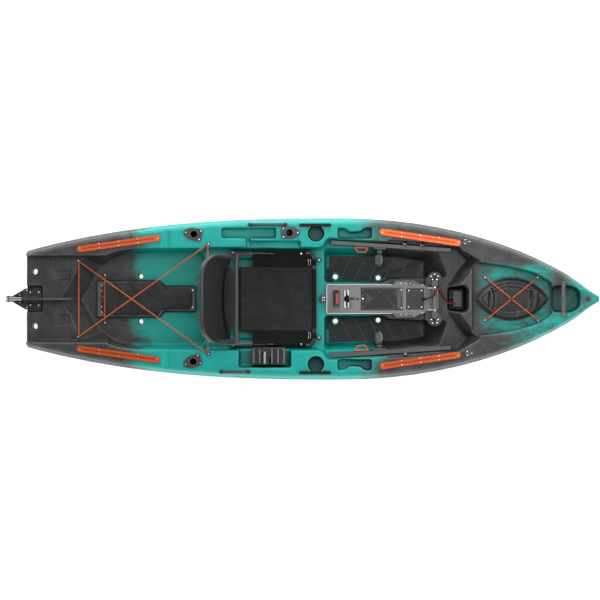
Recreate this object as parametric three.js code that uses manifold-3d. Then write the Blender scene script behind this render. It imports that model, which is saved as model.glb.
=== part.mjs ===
// Sit-on-top fishing kayak: a hollow moulded hull, a drive cassette that swings up on a cross
// axle, a stern rudder steered by two foot pedals, a folding seat, a hatch and deck fittings.
// Millimetres. +X points to the bow, +Y to port and +Z up. The origin is the middle of the flat keel.

import * as THREE from 'three';
import { mergeVertices } from 'three/addons/utils/BufferGeometryUtils.js';
import Module from 'manifold-3d';

const wasm = await Module();
wasm.setup();

// ---------- driving dimensions ----------

// Hull shell
const HULL_LENGTH = 3200;
const HULL_BEAM = 912;
const HULL_WALL = 6;
const MIDSHIP_HEIGHT = 335;
const STERN_HEIGHT = 300;
const BOW_HEIGHT = 420;
const STEM_FOOT_HEIGHT = 250;
const ROCKER_START = 900;
const STERN_LIFT = 25;
const STERN_LIFT_RUN = 500;
const WIDEST_X = 150;
const TRANSOM_SHARE = 0.6;
const STEM_HALF = 20;
const TUMBLEHOME = 35;
const STATION_COUNT = 26;

// Deck levels
const TANK_FLOOR = 145;
const BATTERY_FLOOR = 38;
const COCKPIT_FLOOR = 215;
const SEAT_WELL_FLOOR = 180;
const FOOT_FLOOR = 95;
const STERN_PLATFORM = 230;
const FORE_PLATFORM = 235;
const RECESS_FLOOR = 150;
const BOW_DECK = 318;
const TRAY_DEPTH = 35;
const CONTROL_TRAY_DEPTH = 88;
const CUP_DEPTH = 90;
const CUP_RADIUS = 46;
const SCUPPER_RADIUS = 15;
const STERN_SCUPPER_RADIUS = 19;

// Clearances
const FIT = 0.4;
const DECK_GAP = 1.2;

// Drive cassette and its tunnel
const TUNNEL_AFT = 86;
const TUNNEL_FORE = 715;
const TUNNEL_HALF = 84;
const TUNNEL_NOSE_HALF = 64;
const TUNNEL_NOSE_X = 650;
const CONSOLE_SIDE_GAP = 4;
const CONSOLE_TOP = 240;
const CONSOLE_BOTTOM = 165;
const SHOULDER_HALF = 104;
const AXLE_X = 694;
const AXLE_Z = 250;
const AXLE_RADIUS = 7;
const AXLE_HALF = 94;
const KNUCKLE_RADIUS = 14;
const BLOCK_RADIUS = 43;
const BLOCK_Y = 112;
const LEG_X = 340;
const POD_Z = 86;
const POD_RADIUS = 35;
const POD_AFT = 218;
const POD_FORE = 432;
const PROP_RADIUS = 70;
const PROP_HUB_RADIUS = 20;
const PROP_X = 202;
const PROP_HUB_LENGTH = 26;
const SHAFT_RADIUS = 6;

// Rudder
const RUDDER_PIN_RADIUS = 6;
const RUDDER_PIN_BACK = 14;
const RUDDER_ARM = 86;
const BLADE_LENGTH = 372;
const BLADE_THICKNESS = 9;
const BLADE_LIFT = 8;
const BLADE_PIN_RADIUS = 4;

// Foot braces
const RAIL_AFT = 112;
const RAIL_FORE = 786;
const RAIL_SLOPE = -0.0653;
const RAIL_WALL_Y = 330;
const RAIL_WIDTH = 22;
const RAIL_HEIGHT = 26;
const RAIL_Z = 252;
const PEDAL_X = 384;
const PEDAL_WIDTH = 66;
const PEDAL_HEIGHT = 128;
const PEDAL_PIN_RADIUS = 5;
const PEDAL_PIN_Z = 204;
const PEDAL_INSET = 32;

// Seat
const SEAT_TUBE = 12.5;
const SEAT_HALF = 255;
const SEAT_AFT = -452;
const SEAT_FORE = 14;
const SEAT_TUBE_Z = 233;
const RECLINE_X = -440;
const RECLINE_Z = 276;
const RECLINE_PIN = 6;
const BACK_HALF = 236;
const BACK_LENGTH = 448;
const BACK_LEAN = 21;

// Fittings
const TRACK_WIDTH = 36;
const TRACK_THICKNESS = 9;
const CORD_RADIUS = 3.5;
const HOLDER_TUBE_RADIUS = 23;
const HOLDER_BORE_RADIUS = 20;
const HOLDER_DEPTH = 120;
const HOLDER_TILT = 25;
const HATCH_AFT = 913;
const HATCH_FORE = 1327;
const HATCH_HALF = 120;
const HATCH_LIP = 24;
const BOW_HANDLE_BACK = 198;
const BOW_HANDLE_HALF = 86;

const STERN_X = -HULL_LENGTH / 2;
const BOW_X = HULL_LENGTH / 2;
const SKY = BOW_HEIGHT + 60;
const DEEP = -30;

// ---------- finishes ----------

const TEAL = { color: 0x00b8ad, roughness: 0.42, metalness: 0 };
const BLACK = { color: 0x18191a, roughness: 0.5, metalness: 0 };
const CHARCOAL = { color: 0x3a3c3e, roughness: 0.55, metalness: 0 };
const GREY = { color: 0x77797b, roughness: 0.5, metalness: 0 };
const ORANGE = { color: 0xf04a10, roughness: 0.35, metalness: 0.6 };
const ORANGE_CORD = { color: 0xf25a12, roughness: 0.8, metalness: 0 };
const ORANGE_PLASTIC = { color: 0xf0551a, roughness: 0.45, metalness: 0 };
const RED = { color: 0xc01818, roughness: 0.4, metalness: 0 };
const STEEL = { color: 0xb8bcc0, roughness: 0.3, metalness: 1 };
const BLACK_METAL = { color: 0x1c1d1f, roughness: 0.35, metalness: 0.8 };
const FABRIC = { color: 0x2a2b2d, roughness: 0.95, metalness: 0 };
const FOAM = { color: 0x141516, roughness: 0.9, metalness: 0 };
const RUBBER = { color: 0x1b1b1c, roughness: 0.8, metalness: 0 };

// ---------- solids and outlines ----------

function turnedOut(positions, triangles) {
  const corner = (index) => new THREE.Vector3().fromArray(positions, 3 * index);
  let volume = 0;
  for (let i = 0; i < triangles.length; i += 3) {
    volume += corner(triangles[i]).dot(corner(triangles[i + 1]).cross(corner(triangles[i + 2])));
  }
  if (volume > 0) return triangles;
  const flipped = triangles.slice();
  for (let i = 0; i < flipped.length; i += 3) {
    flipped[i] = triangles[i + 1];
    flipped[i + 1] = triangles[i];
  }
  return flipped;
}

function solid(geometry) {
  const bare = geometry.clone();
  bare.deleteAttribute('normal');
  bare.deleteAttribute('uv');
  const merged = mergeVertices(bare, 1e-3);
  const positions = Array.from(merged.attributes.position.array);
  const source = Array.from(merged.index.array);
  const kept = [];
  for (let i = 0; i < source.length; i += 3) {
    const [a, b, c] = source.slice(i, i + 3);
    if (a !== b && b !== c && c !== a) kept.push(a, b, c);
  }
  return new wasm.Manifold(new wasm.Mesh({
    numProp: 3,
    vertProperties: Float32Array.from(positions),
    triVerts: Uint32Array.from(turnedOut(positions, kept)),
  }));
}

function join(first, ...others) {
  return others.reduce((whole, other) => whole.add(other), first);
}

function cut(first, ...others) {
  return others.reduce((whole, other) => whole.subtract(other), first);
}

// Joins rings of equal count with side faces and closes both ends. Flatten gives the plane that the
// rings face, and the rings follow one another along that plane's normal.
function loft(sections, flatten) {
  const clockwise = THREE.ShapeUtils.area(sections[0].map(flatten)) < 0;
  const rings = clockwise ? sections.map((ring) => [...ring].reverse()) : sections;
  const count = rings[0].length;
  const positions = rings.flatMap((ring) => ring.flatMap((point) => point.toArray()));
  const triangles = [];
  for (let level = 0; level < rings.length - 1; level++) {
    for (let i = 0; i < count; i++) {
      const near = level * count;
      const next = (i + 1) % count;
      triangles.push(near + i, near + next, near + count + next);
      triangles.push(near + i, near + count + next, near + count + i);
    }
  }
  const last = (rings.length - 1) * count;
  for (const [a, b, c] of THREE.ShapeUtils.triangulateShape(rings[0].map(flatten), [])) {
    triangles.push(a, c, b);
  }
  for (const [a, b, c] of THREE.ShapeUtils.triangulateShape(rings.at(-1).map(flatten), [])) {
    triangles.push(last + a, last + b, last + c);
  }
  const geometry = new THREE.BufferGeometry();
  geometry.setAttribute('position', new THREE.Float32BufferAttribute(positions, 3));
  geometry.setIndex(triangles);
  return solid(geometry);
}

const seenFromAbove = (point) => new THREE.Vector2(point.x, point.y);
const seenFromBow = (point) => new THREE.Vector2(point.y, point.z);

function mirrored(outline) {
  return outline.map(([x, y]) => [x, -y]).reverse();
}

// A symmetric outline from its port half, listed from bow to stern.
function bothSides(half) {
  const starboard = half.map(([x, y]) => [x, -y]).reverse();
  return [...half, ...starboard].filter(([x, y], i, all) => {
    const [px, py] = all.at(i - 1);
    return Math.hypot(x - px, y - py) > 1e-6;
  });
}

// Moves every edge of an outline outwards by the same distance.
function grow(outline, distance) {
  return outline.map((point, i) => {
    const here = new THREE.Vector2(...point);
    const before = new THREE.Vector2(...outline.at(i - 1));
    const after = new THREE.Vector2(...outline[(i + 1) % outline.length]);
    const into = here.clone().sub(before).normalize();
    const out = after.sub(here).normalize();
    const normal = new THREE.Vector2(into.y + out.y, -into.x - out.x);
    normal.multiplyScalar(distance / (1 + into.dot(out)));
    return [here.x + normal.x, here.y + normal.y];
  });
}

// Rounds the corners of an outline with short curves.
function rounded(outline, radius, steps = 2) {
  return outline.flatMap((point, i) => {
    const here = new THREE.Vector2(...point);
    const before = new THREE.Vector2(...outline.at(i - 1));
    const after = new THREE.Vector2(...outline[(i + 1) % outline.length]);
    const reach = Math.min(radius, 0.45 * here.distanceTo(before), 0.45 * here.distanceTo(after));
    const start = here.clone().add(before.sub(here).setLength(reach));
    const end = here.clone().add(after.sub(here).setLength(reach));
    const curve = new THREE.QuadraticBezierCurve(start, here, end);
    return curve.getPoints(steps).map((p) => [p.x, p.y]);
  });
}

function rectangle(x0, x1, y0, y1) {
  return [[x0, y0], [x1, y0], [x1, y1], [x0, y1]];
}

function circle(x, y, radius, sides = 16) {
  return Array.from({ length: sides }, (_, i) => {
    const angle = (2 * Math.PI * i) / sides;
    return [x + radius * Math.cos(angle), y + radius * Math.sin(angle)];
  });
}

// A long pointed oval.
function lens(aft, fore, half, steps = 10) {
  const middle = (aft + fore) / 2;
  const reach = (fore - aft) / 2;
  const port = Array.from({ length: steps + 1 }, (_, i) => {
    const t = 1 - (2 * i) / steps;
    return [middle + reach * t, half * (1 - t * t) ** 0.8];
  });
  return bothSides(port);
}

function levelRing(outline, z) {
  return outline.map(([x, y]) => new THREE.Vector3(x, y, z));
}

function between(lowOutline, highOutline, low, high) {
  return loft([levelRing(lowOutline, low), levelRing(highOutline, high)], seenFromAbove);
}

// An upright prism whose sides lean out by draft millimetres for each millimetre of height.
function prism(outline, low, high, draft = 0) {
  return between(outline, grow(outline, draft * (high - low)), low, high);
}

function block(x0, x1, y0, y1, z0, z1) {
  const box = new THREE.BoxGeometry(x1 - x0, y1 - y0, z1 - z0);
  return solid(box.translate((x0 + x1) / 2, (y0 + y1) / 2, (z0 + z1) / 2));
}

// A round bar from one point to another.
function bar(start, end, radius, sides = 14) {
  const from = new THREE.Vector3(...start);
  const along = new THREE.Vector3(...end).sub(from);
  const geometry = new THREE.CylinderGeometry(radius, radius, along.length(), sides);
  geometry.translate(0, along.length() / 2, 0);
  const up = new THREE.Vector3(0, 1, 0);
  geometry.applyQuaternion(new THREE.Quaternion().setFromUnitVectors(up, along.normalize()));
  return solid(geometry.translate(...start));
}

function crossBar(x, z, y0, y1, radius, sides) {
  return bar([x, y0, z], [x, y1, z], radius, sides);
}

function uprightBar(x, y, z0, z1, radius, sides) {
  return bar([x, y, z0], [x, y, z1], radius, sides);
}

// A path through listed points, stepped exactly at those points.
class Route extends THREE.Curve {
  constructor(points) {
    super();
    this.points = points.map((point) => new THREE.Vector3(...point));
  }

  getPoint(t) {
    const place = t * (this.points.length - 1);
    const index = Math.min(Math.floor(place), this.points.length - 2);
    return this.points[index].clone().lerp(this.points[index + 1], place - index);
  }

  getPointAt(u) {
    return this.getPoint(u);
  }

  getTangentAt(u) {
    const index = Math.round(u * (this.points.length - 1));
    const before = this.points[Math.max(index - 1, 0)];
    const here = this.points[index];
    const after = this.points[Math.min(index + 1, this.points.length - 1)];
    const into = here.clone().sub(before).normalize();
    const out = after.clone().sub(here).normalize();
    return into.add(out).normalize();
  }
}

function tube(points, radius, sides = 10) {
  const section = new THREE.Shape(circle(0, 0, radius, sides).map((p) => new THREE.Vector2(...p)));
  const extrudePath = new Route(points);
  return solid(new THREE.ExtrudeGeometry(section, { steps: points.length - 1, extrudePath }));
}

// Replaces the corners of a three-dimensional route with short curves.
function bent(points, radius, steps = 3) {
  const corners = points.map((point) => new THREE.Vector3(...point));
  return corners.flatMap((here, i) => {
    if (i === 0 || i === corners.length - 1) return [here.toArray()];
    const toBefore = corners[i - 1].clone().sub(here);
    const toAfter = corners[i + 1].clone().sub(here);
    const reach = Math.min(radius, 0.45 * toBefore.length(), 0.45 * toAfter.length());
    const start = here.clone().add(toBefore.setLength(reach));
    const end = here.clone().add(toAfter.setLength(reach));
    return new THREE.QuadraticBezierCurve3(start, here, end).getPoints(steps).map((p) => p.toArray());
  });
}

function turned(profile, sides = 20) {
  return new THREE.LatheGeometry(profile.map((p) => new THREE.Vector2(...p)), sides);
}

function geometryOf(shape) {
  if (shape.isBufferGeometry) return shape;
  const { vertProperties, triVerts } = shape.getMesh();
  const geometry = new THREE.BufferGeometry();
  geometry.setAttribute('position', new THREE.Float32BufferAttribute(vertProperties, 3));
  geometry.setIndex(Array.from(triVerts));
  return geometry;
}

function piece(name, shape, finish) {
  const mesh = new THREE.Mesh(geometryOf(shape), new THREE.MeshStandardMaterial(finish));
  mesh.name = name;
  return mesh;
}

const radians = THREE.MathUtils.degToRad;

// ---------- hull lines ----------

function halfBeam(x) {
  const widest = HULL_BEAM / 2;
  if (x < WIDEST_X) {
    const t = (WIDEST_X - x) / (WIDEST_X - STERN_X);
    return widest * (1 - (1 - TRANSOM_SHARE) * t ** 2.6);
  }
  const t = (x - WIDEST_X) / (BOW_X - WIDEST_X);
  return Math.max(STEM_HALF, widest * (1 - t ** 2.1) ** 0.8);
}

function sheer(x) {
  const end = x < 0 ? STERN_HEIGHT : BOW_HEIGHT;
  return MIDSHIP_HEIGHT + (end - MIDSHIP_HEIGHT) * (x / BOW_X) ** 2;
}

function keel(x) {
  if (x > ROCKER_START) return STEM_FOOT_HEIGHT * ((x - ROCKER_START) / (BOW_X - ROCKER_START)) ** 2.2;
  const lift = Math.max(0, STERN_X + STERN_LIFT_RUN - x) / STERN_LIFT_RUN;
  return STERN_LIFT * lift ** 2;
}

function deckEdge(x) {
  const beam = halfBeam(x);
  return beam - Math.min(TUMBLEHOME, 0.35 * beam);
}

// Share of the beam and share of the height at each point from the keel to the widest line.
const SECTION = [[0.3, 0], [0.62, 0.03], [0.84, 0.12], [0.95, 0.26], [0.99, 0.42], [1, 0.56]];

function hullRing(x, inset) {
  const beam = halfBeam(x) - inset;
  const low = keel(x) + inset;
  const rise = sheer(x) - inset - low;
  const tuck = Math.min(TUMBLEHOME, 0.35 * beam);
  const side = SECTION.map(([out, up]) => [out * beam, low + up * rise]);
  side.push([beam - 0.25 * tuck, low + 0.8 * rise]);
  side.push([beam - 0.65 * tuck, low + 0.95 * rise]);
  side.push([beam - tuck, low + rise]);
  const port = side.map(([y, z]) => new THREE.Vector3(x, y, z));
  const starboard = side.map(([y, z]) => new THREE.Vector3(x, -y, z)).reverse();
  return [...starboard, ...port];
}

function hullBody(inset, bowEnd) {
  const aft = STERN_X + inset;
  const rings = Array.from({ length: STATION_COUNT }, (_, i) => {
    const share = 1 - (1 - i / (STATION_COUNT - 1)) ** 1.4;
    return hullRing(aft + (bowEnd - aft) * share, inset);
  });
  return loft(rings, seenFromBow);
}

// ---------- hull wells, recesses and holes ----------

// A well: outline of its floor, outline of its mouth, and the two heights. The moulding's wall
// follows it all round, so each well also has a casing one wall thicker.
function well(floorOutline, mouthOutline, floor, mouth, radius) {
  const thicker = (outline) => rounded(grow(outline, HULL_WALL), radius);
  return {
    space: between(rounded(floorOutline, radius), rounded(mouthOutline, radius), floor, mouth),
    casing: between(thicker(floorOutline), thicker(mouthOutline), floor - HULL_WALL, mouth),
  };
}

function draftedWell(outline, floor, draft, radius) {
  return well(outline, grow(outline, draft * (SKY - floor)), floor, SKY, radius);
}

const PLATFORM_FORE = STERN_X + 315;
const TANK_AFT = STERN_X + 385;
const TANK_FORE = -600;
const COCKPIT_HALF = 278;

function railWall(x) {
  return RAIL_WALL_Y + RAIL_SLOPE * (x - RAIL_AFT);
}

function sternPlatform() {
  const outline = rectangle(STERN_X - 60, TANK_AFT + 130, -236, 236);
  return draftedWell(outline, STERN_PLATFORM, 0.1, 12);
}

// The platform falls to the tank well over a V-shaped slope.
function tankSlope() {
  const floor = bothSides([[TANK_AFT + 190, 190], [TANK_AFT + 25, 190], [STERN_X + 300, 0]]);
  const mouth = bothSides([[TANK_AFT + 190, 232], [PLATFORM_FORE, 232], [STERN_X + 195, 0]]);
  return well(floor, mouth, TANK_FLOOR, STERN_PLATFORM + 1, 10);
}

function tankWell() {
  const half = [[TANK_FORE, 262], [TANK_AFT + 215, 262], [TANK_AFT + 85, 240], [TANK_AFT, 150]];
  return draftedWell(bothSides(half), TANK_FLOOR, 0.12, 60);
}

function batteryBay() {
  const outline = rectangle(TANK_FORE - 580, TANK_FORE - 300, -88, 88);
  return well(outline, outline, BATTERY_FLOOR, TANK_FLOOR + 1, 10);
}

function cockpit() {
  const half = [
    [640, railWall(640)], [RAIL_AFT - 16, railWall(RAIL_AFT - 16)],
    [66, COCKPIT_HALF], [TANK_FORE, COCKPIT_HALF],
  ];
  return draftedWell(bothSides(half), COCKPIT_FLOOR, 0.1, 20);
}

function seatWell() {
  const outline = rectangle(-555, -40, -222, 222);
  return well(outline, grow(outline, 12), SEAT_WELL_FLOOR, COCKPIT_FLOOR + 1, 24);
}

// One deep well for each foot, with a ramp up to the fore platform at its front.
function footWell() {
  const floor = [[84, 97], [410, 97], [440, 116], [640, 116], [640, 216], [480, 242], [84, 252]];
  const mouth = [[72, 92], [410, 92], [440, 112], [770, 125], [720, 262], [480, 292], [72, 298]];
  return [floor, mouth];
}

function footWells() {
  const [floor, mouth] = footWell();
  return [
    well(floor, mouth, FOOT_FLOOR, FORE_PLATFORM + 1, 16),
    well(mirrored(floor), mirrored(mouth), FOOT_FLOOR, FORE_PLATFORM + 1, 16),
  ];
}

function forePlatform() {
  const side = (lean) => [[820, railWall(820) + lean], [590, railWall(590) + lean]];
  const floor = bothSides([[770, 70], [830, 165], [875, 215], ...side(0)]);
  const mouth = bothSides([[860, 80], [935, 170], [985, 205], ...side(20)]);
  return well(floor, mouth, FORE_PLATFORM, BOW_DECK + 100, 14);
}

function bowWell() {
  const half = [[1338, 84], [1250, 138], [1100, 178], [900, 205]];
  return draftedWell(bothSides(half), BOW_DECK, 0.12, 30);
}

function frontRecess() {
  const half = [[868, 52], [855, 66], [772, 60]];
  return draftedWell(bothSides(half), RECESS_FLOOR, 0.06, 14);
}

function bowHandleRecess() {
  const half = [[BOW_X - 108, 44], [BOW_X - 150, 70], [BOW_X - 255, 70]];
  return draftedWell(bothSides(half), BOW_DECK - 18, 0.06, 24);
}

function driveTunnel() {
  const half = [
    [TUNNEL_FORE, TUNNEL_NOSE_HALF], [TUNNEL_NOSE_X, TUNNEL_NOSE_HALF],
    [TUNNEL_NOSE_X - 14, TUNNEL_HALF], [TUNNEL_AFT, TUNNEL_HALF],
  ];
  return well(bothSides(half), bothSides(half), DEEP, SKY, 8);
}

function sideTray(x0, x1, y0, y1, depth, radius = 8) {
  return draftedWell(rectangle(x0, x1, y0, y1), MIDSHIP_HEIGHT - depth, 0.08, radius);
}

function sidePocket() {
  return [[150, 340], [335, 340], [335, 396], [300, 396], [275, 376], [215, 372], [190, 392], [150, 396]];
}

function sideWells() {
  const pocket = sidePocket();
  return [
    sideTray(-500, -200, 342, 394, TRAY_DEPTH),
    sideTray(-343, -63, COCKPIT_HALF - 30, 322, 45),
    sideTray(-400, -120, -378, -COCKPIT_HALF + 30, CONTROL_TRAY_DEPTH),
    draftedWell(pocket, MIDSHIP_HEIGHT - 50, 0.06, 8),
    draftedWell(mirrored(pocket), MIDSHIP_HEIGHT - 50, 0.06, 8),
  ];
}

function cup(side) {
  const outline = circle(26, side * 366, CUP_RADIUS, 20);
  return {
    space: prism(outline, MIDSHIP_HEIGHT - CUP_DEPTH, SKY),
    casing: prism(grow(outline, HULL_WALL), MIDSHIP_HEIGHT - CUP_DEPTH - HULL_WALL, SKY),
  };
}

const SCUPPERS = [
  [138, 126, SCUPPER_RADIUS], [381, 120, SCUPPER_RADIUS],
  [-964, 128, SCUPPER_RADIUS], [STERN_X + 42, 154, STERN_SCUPPER_RADIUS],
].flatMap(([x, y, radius]) => [[x, y, radius], [x, -y, radius]]);

function scupper([x, y, radius]) {
  return {
    space: uprightBar(x, y, DEEP, SKY, radius, 16),
    casing: uprightBar(x, y, DEEP, SKY, radius + HULL_WALL, 16),
  };
}

function rudderRecess() {
  const outline = rectangle(STERN_X - 60, STERN_X + 87, -73, 73);
  return draftedWell(outline, STERN_PLATFORM - 30, 0.05, 8);
}

// ---------- flush rod holders ----------

const ROD_HOLDERS = [
  { name: 'rod_holder_rear_port', x: -656, y: 362, yaw: -12 },
  { name: 'rod_holder_rear_starboard', x: -659, y: -350, yaw: 20 },
  { name: 'rod_holder_side_port', x: -122, y: 370, yaw: 180 },
];

function holderBar({ x, y, yaw }, radius, top, depth) {
  const tilt = radians(HOLDER_TILT);
  const turn = radians(yaw);
  const place = (length) => [
    x - length * Math.sin(tilt) * Math.cos(turn),
    y - length * Math.sin(tilt) * Math.sin(turn),
    sheer(x) + DECK_GAP - length * Math.cos(tilt),
  ];
  return bar(place(-top), place(depth), radius, 20);
}

function rodHolder(spot) {
  const outline = [[-58, -12], [-22, -33], [46, -33], [46, 33], [-22, 33], [-58, 12]];
  const turn = radians(spot.yaw);
  const placed = rounded(outline, 10).map(([x, y]) => [
    spot.x + x * Math.cos(turn) - y * Math.sin(turn),
    spot.y + x * Math.sin(turn) + y * Math.cos(turn),
  ]);
  const deck = sheer(spot.x) + DECK_GAP;
  const flange = prism(placed, deck, deck + 5);
  const body = join(flange, holderBar(spot, HOLDER_TUBE_RADIUS, 0, HOLDER_DEPTH));
  const trimmed = cut(body, prism(grow(placed, 60), deck + 5, deck + 80));
  return cut(trimmed, holderBar(spot, HOLDER_BORE_RADIUS, 40, HOLDER_DEPTH - 4));
}

function hull() {
  const wells = [
    sternPlatform(), tankSlope(), tankWell(), batteryBay(), cockpit(), seatWell(), ...footWells(),
    forePlatform(), bowWell(), frontRecess(), bowHandleRecess(), driveTunnel(), ...sideWells(),
    cup(1), cup(-1), ...SCUPPERS.map(scupper), rudderRecess(),
  ];
  const spaces = join(...wells.map((w) => w.space));
  const casings = join(...wells.map((w) => w.casing));
  const cavity = cut(hullBody(HULL_WALL, BOW_X - 60), casings);
  const hatchHole = lens(HATCH_AFT + HATCH_LIP, HATCH_FORE - HATCH_LIP, HATCH_HALF - HATCH_LIP);
  const holderHole = (spot) => holderBar(spot, HOLDER_TUBE_RADIUS + 1, 40, HOLDER_DEPTH + 6);
  const holes = [prism(hatchHole, BOW_DECK - 40, SKY), ...ROD_HOLDERS.map(holderHole)];
  return cut(hullBody(0, BOW_X), spaces, cavity, ...holes);
}

// ---------- deck fittings ----------

// A slotted rail with round ends, drawn from the origin along +X.
function gearTrack(length) {
  const half = TRACK_WIDTH / 2;
  const stadium = (radius, from, to) => {
    const shape = new THREE.Shape();
    shape.absarc(from, 0, radius, Math.PI / 2, (3 * Math.PI) / 2);
    shape.absarc(to, 0, radius, -Math.PI / 2, Math.PI / 2);
    return shape.extractPoints(6).shape.slice(0, -1).map((p) => [p.x, p.y]);
  };
  const plate = prism(stadium(half, half, length - half), 0, TRACK_THICKNESS);
  const slot = prism(stadium(4, 38, length - 38), 3, TRACK_THICKNESS + 5);
  return cut(plate, slot);
}

function placedTrack(name, aft, fore) {
  const from = new THREE.Vector3(aft[0], aft[1], sheer(aft[0]) + DECK_GAP);
  const to = new THREE.Vector3(fore[0], fore[1], sheer(fore[0]) + DECK_GAP);
  const along = to.clone().sub(from);
  const track = piece(name, gearTrack(along.length()), ORANGE);
  track.position.copy(from);
  track.rotation.order = 'ZYX';
  track.rotation.z = Math.atan2(along.y, along.x);
  track.rotation.y = -Math.asin(along.z / along.length());
  return track;
}

function gearTracks() {
  const inboard = (x, distance) => deckEdge(x) - distance;
  const rearAft = STERN_X + 288;
  const rearFore = rearAft + 468;
  const frontAft = 382;
  const frontFore = 835;
  return [1, -1].flatMap((side) => {
    const label = side > 0 ? 'port' : 'starboard';
    return [
      placedTrack(`gear_track_rear_${label}`,
        [rearAft, side * inboard(rearAft, 30)], [rearFore, side * inboard(rearFore, 36)]),
      placedTrack(`gear_track_front_${label}`,
        [frontAft, side * inboard(frontAft, 36)], [frontFore, side * inboard(frontFore, 34)]),
    ];
  });
}

function sideHandle(x0, x1, side) {
  const y = side * (deckEdge((x0 + x1) / 2) - 2);
  const deck = sheer((x0 + x1) / 2) + DECK_GAP;
  const feet = [x0, x1 - 26].map((x) => block(x, x + 26, y - 9, y + 9, deck, deck + 12));
  const grip = tube(bent([
    [x0 + 13, y, deck + 6], [x0 + 30, y, deck + 30], [x1 - 30, y, deck + 30], [x1 - 13, y, deck + 6],
  ], 16, 2), 8, 10);
  return join(...feet, grip);
}

function bumperStrip(side) {
  const y = side * (deckEdge(20) - 8);
  const deck = sheer(20) + DECK_GAP;
  const outline = rounded(rectangle(-68, 111, y - 10, y + 10), 8);
  return prism(outline, deck, deck + 11, -0.25);
}

function bowHandle() {
  const x = BOW_X - BOW_HANDLE_BACK;
  const deck = sheer(x) + DECK_GAP + 1;
  const foot = (y) => block(x - 13, x + 13, y - 9, y + 9, deck, deck + 10);
  const grip = crossBar(x, deck + 16, -BOW_HANDLE_HALF - 6, BOW_HANDLE_HALF + 6, 11, 14);
  const post = (y) => block(x - 9, x + 9, y - 7, y + 7, deck + 5, deck + 16);
  return join(grip, ...[-BOW_HANDLE_HALF, BOW_HANDLE_HALF].flatMap((y) => [foot(y), post(y)]));
}

function drainPlug() {
  return solid(turned([[0, 0], [15, 0], [15, 5], [11, 9], [0, 9]]));
}

function placedDrainPlug() {
  const x = BOW_X - 60;
  const plug = piece('drain_plug', drainPlug(), BLACK);
  const slope = (sheer(x + 1) - sheer(x - 1)) / 2;
  plug.rotation.order = 'ZYX';
  plug.rotation.y = -Math.atan(slope);
  plug.rotation.x = Math.PI / 2;
  plug.position.set(x, 0, sheer(x) + DECK_GAP);
  return plug;
}

const PAD_HALF = [
  [90, 102], [357, 102], [412, 121], [590, 121], [628, 208], [480, 234], [105, 244], [105, 176], [90, 170],
];

function deckPad() {
  const pad = prism(PAD_HALF, FOOT_FLOOR + FIT, FOOT_FLOOR + FIT + 5);
  const holes = SCUPPERS.filter(([x, y]) => x > 0 && y > 0)
    .map(([x, y, radius]) => uprightBar(x, y, DEEP, SKY, radius + 10, 16));
  return cut(pad, ...holes);
}

function flipped(shape) {
  return solid(geometryOf(shape).scale(1, -1, 1));
}

function batteryCover() {
  const neck = TANK_FORE - 232;
  const half = [[TANK_FORE - 50, 76], [neck, 76], [neck - 20, 108], [TANK_FORE - 610, 108]];
  const outline = rounded(bothSides(half), 14);
  const base = TANK_FLOOR + FIT;
  const inside = prism(grow(outline, -5), base - 5, base + 27, -0.3);
  const rim = cut(prism(outline, base, base + 4), prism(grow(outline, -12), base - 5, base + 9));
  return join(cut(prism(outline, base, base + 32, -0.3), inside), rim);
}

function battery() {
  const aft = TANK_FORE - 565;
  const box = block(aft, aft + 250, -80, 80, BATTERY_FLOOR + FIT, TANK_FLOOR - 8);
  const terminals = [-50, 50].map((y) => uprightBar(aft + 222, y, TANK_FLOOR - 10, TANK_FLOOR, 7, 12));
  return join(box, ...terminals);
}

// ---------- shock cords held by the deck ----------

const TANK_EYE_AFT = [STERN_X + 293, 212, STERN_PLATFORM + 9];
const TANK_EYE_FORE = [-578, 305, MIDSHIP_HEIGHT + 6];

function tankCord() {
  const side = (point, sign) => [point[0], sign * point[1], point[2]];
  const run = (from, to) => bar(from, to, CORD_RADIUS, 8);
  return join(
    run(side(TANK_EYE_AFT, 1), side(TANK_EYE_FORE, -1)),
    run(side(TANK_EYE_AFT, -1), side(TANK_EYE_FORE, 1)),
    run(side(TANK_EYE_AFT, 1), side(TANK_EYE_AFT, -1)),
    run(side(TANK_EYE_FORE, 1), side(TANK_EYE_FORE, -1)),
  );
}

function coverCord() {
  const x = TANK_FORE - 565;
  const top = TANK_FLOOR + 40;
  const route = [[x, -121, TANK_FLOOR + 6], [x, -104, top], [x, 104, top], [x, 121, TANK_FLOOR + 6]];
  return tube(bent(route, 10, 2), CORD_RADIUS, 8);
}

const HATCH_EYE_AFT = [976, 117, BOW_DECK + 9];
const HATCH_EYE_FORE = [1262, 117, BOW_DECK + 9];
const HATCH_TOP = BOW_DECK + 25;

function hatchCord() {
  const top = HATCH_TOP + 6;
  const centre = [(HATCH_EYE_AFT[0] + HATCH_EYE_FORE[0]) / 2, 0, top];
  const arm = ([x, y, z], side) => {
    const shoulder = [x + 0.14 * (centre[0] - x), side * 0.86 * y, top];
    return tube([[x, side * y, z], shoulder, centre], CORD_RADIUS, 8);
  };
  const bead = bar([centre[0], 0, top - 4], [centre[0], 0, top + 4], 6, 12);
  return join(bead, ...[HATCH_EYE_AFT, HATCH_EYE_FORE].flatMap((eye) => [arm(eye, 1), arm(eye, -1)]));
}

function hatchCover() {
  const rim = lens(HATCH_AFT, HATCH_FORE, HATCH_HALF);
  const inner = (margin) => lens(HATCH_AFT + margin, HATCH_FORE - margin, HATCH_HALF - margin);
  const base = BOW_DECK + FIT;
  const lid = join(
    prism(rim, base, base + 10),
    between(inner(2), inner(22), base + 9.5, HATCH_TOP),
    prism(inner(HATCH_LIP + 3), base - 16, base + 1),
  );
  return cut(lid, prism(inner(HATCH_LIP + 8), base - 20, base + 12));
}

// ---------- controls ----------

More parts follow.
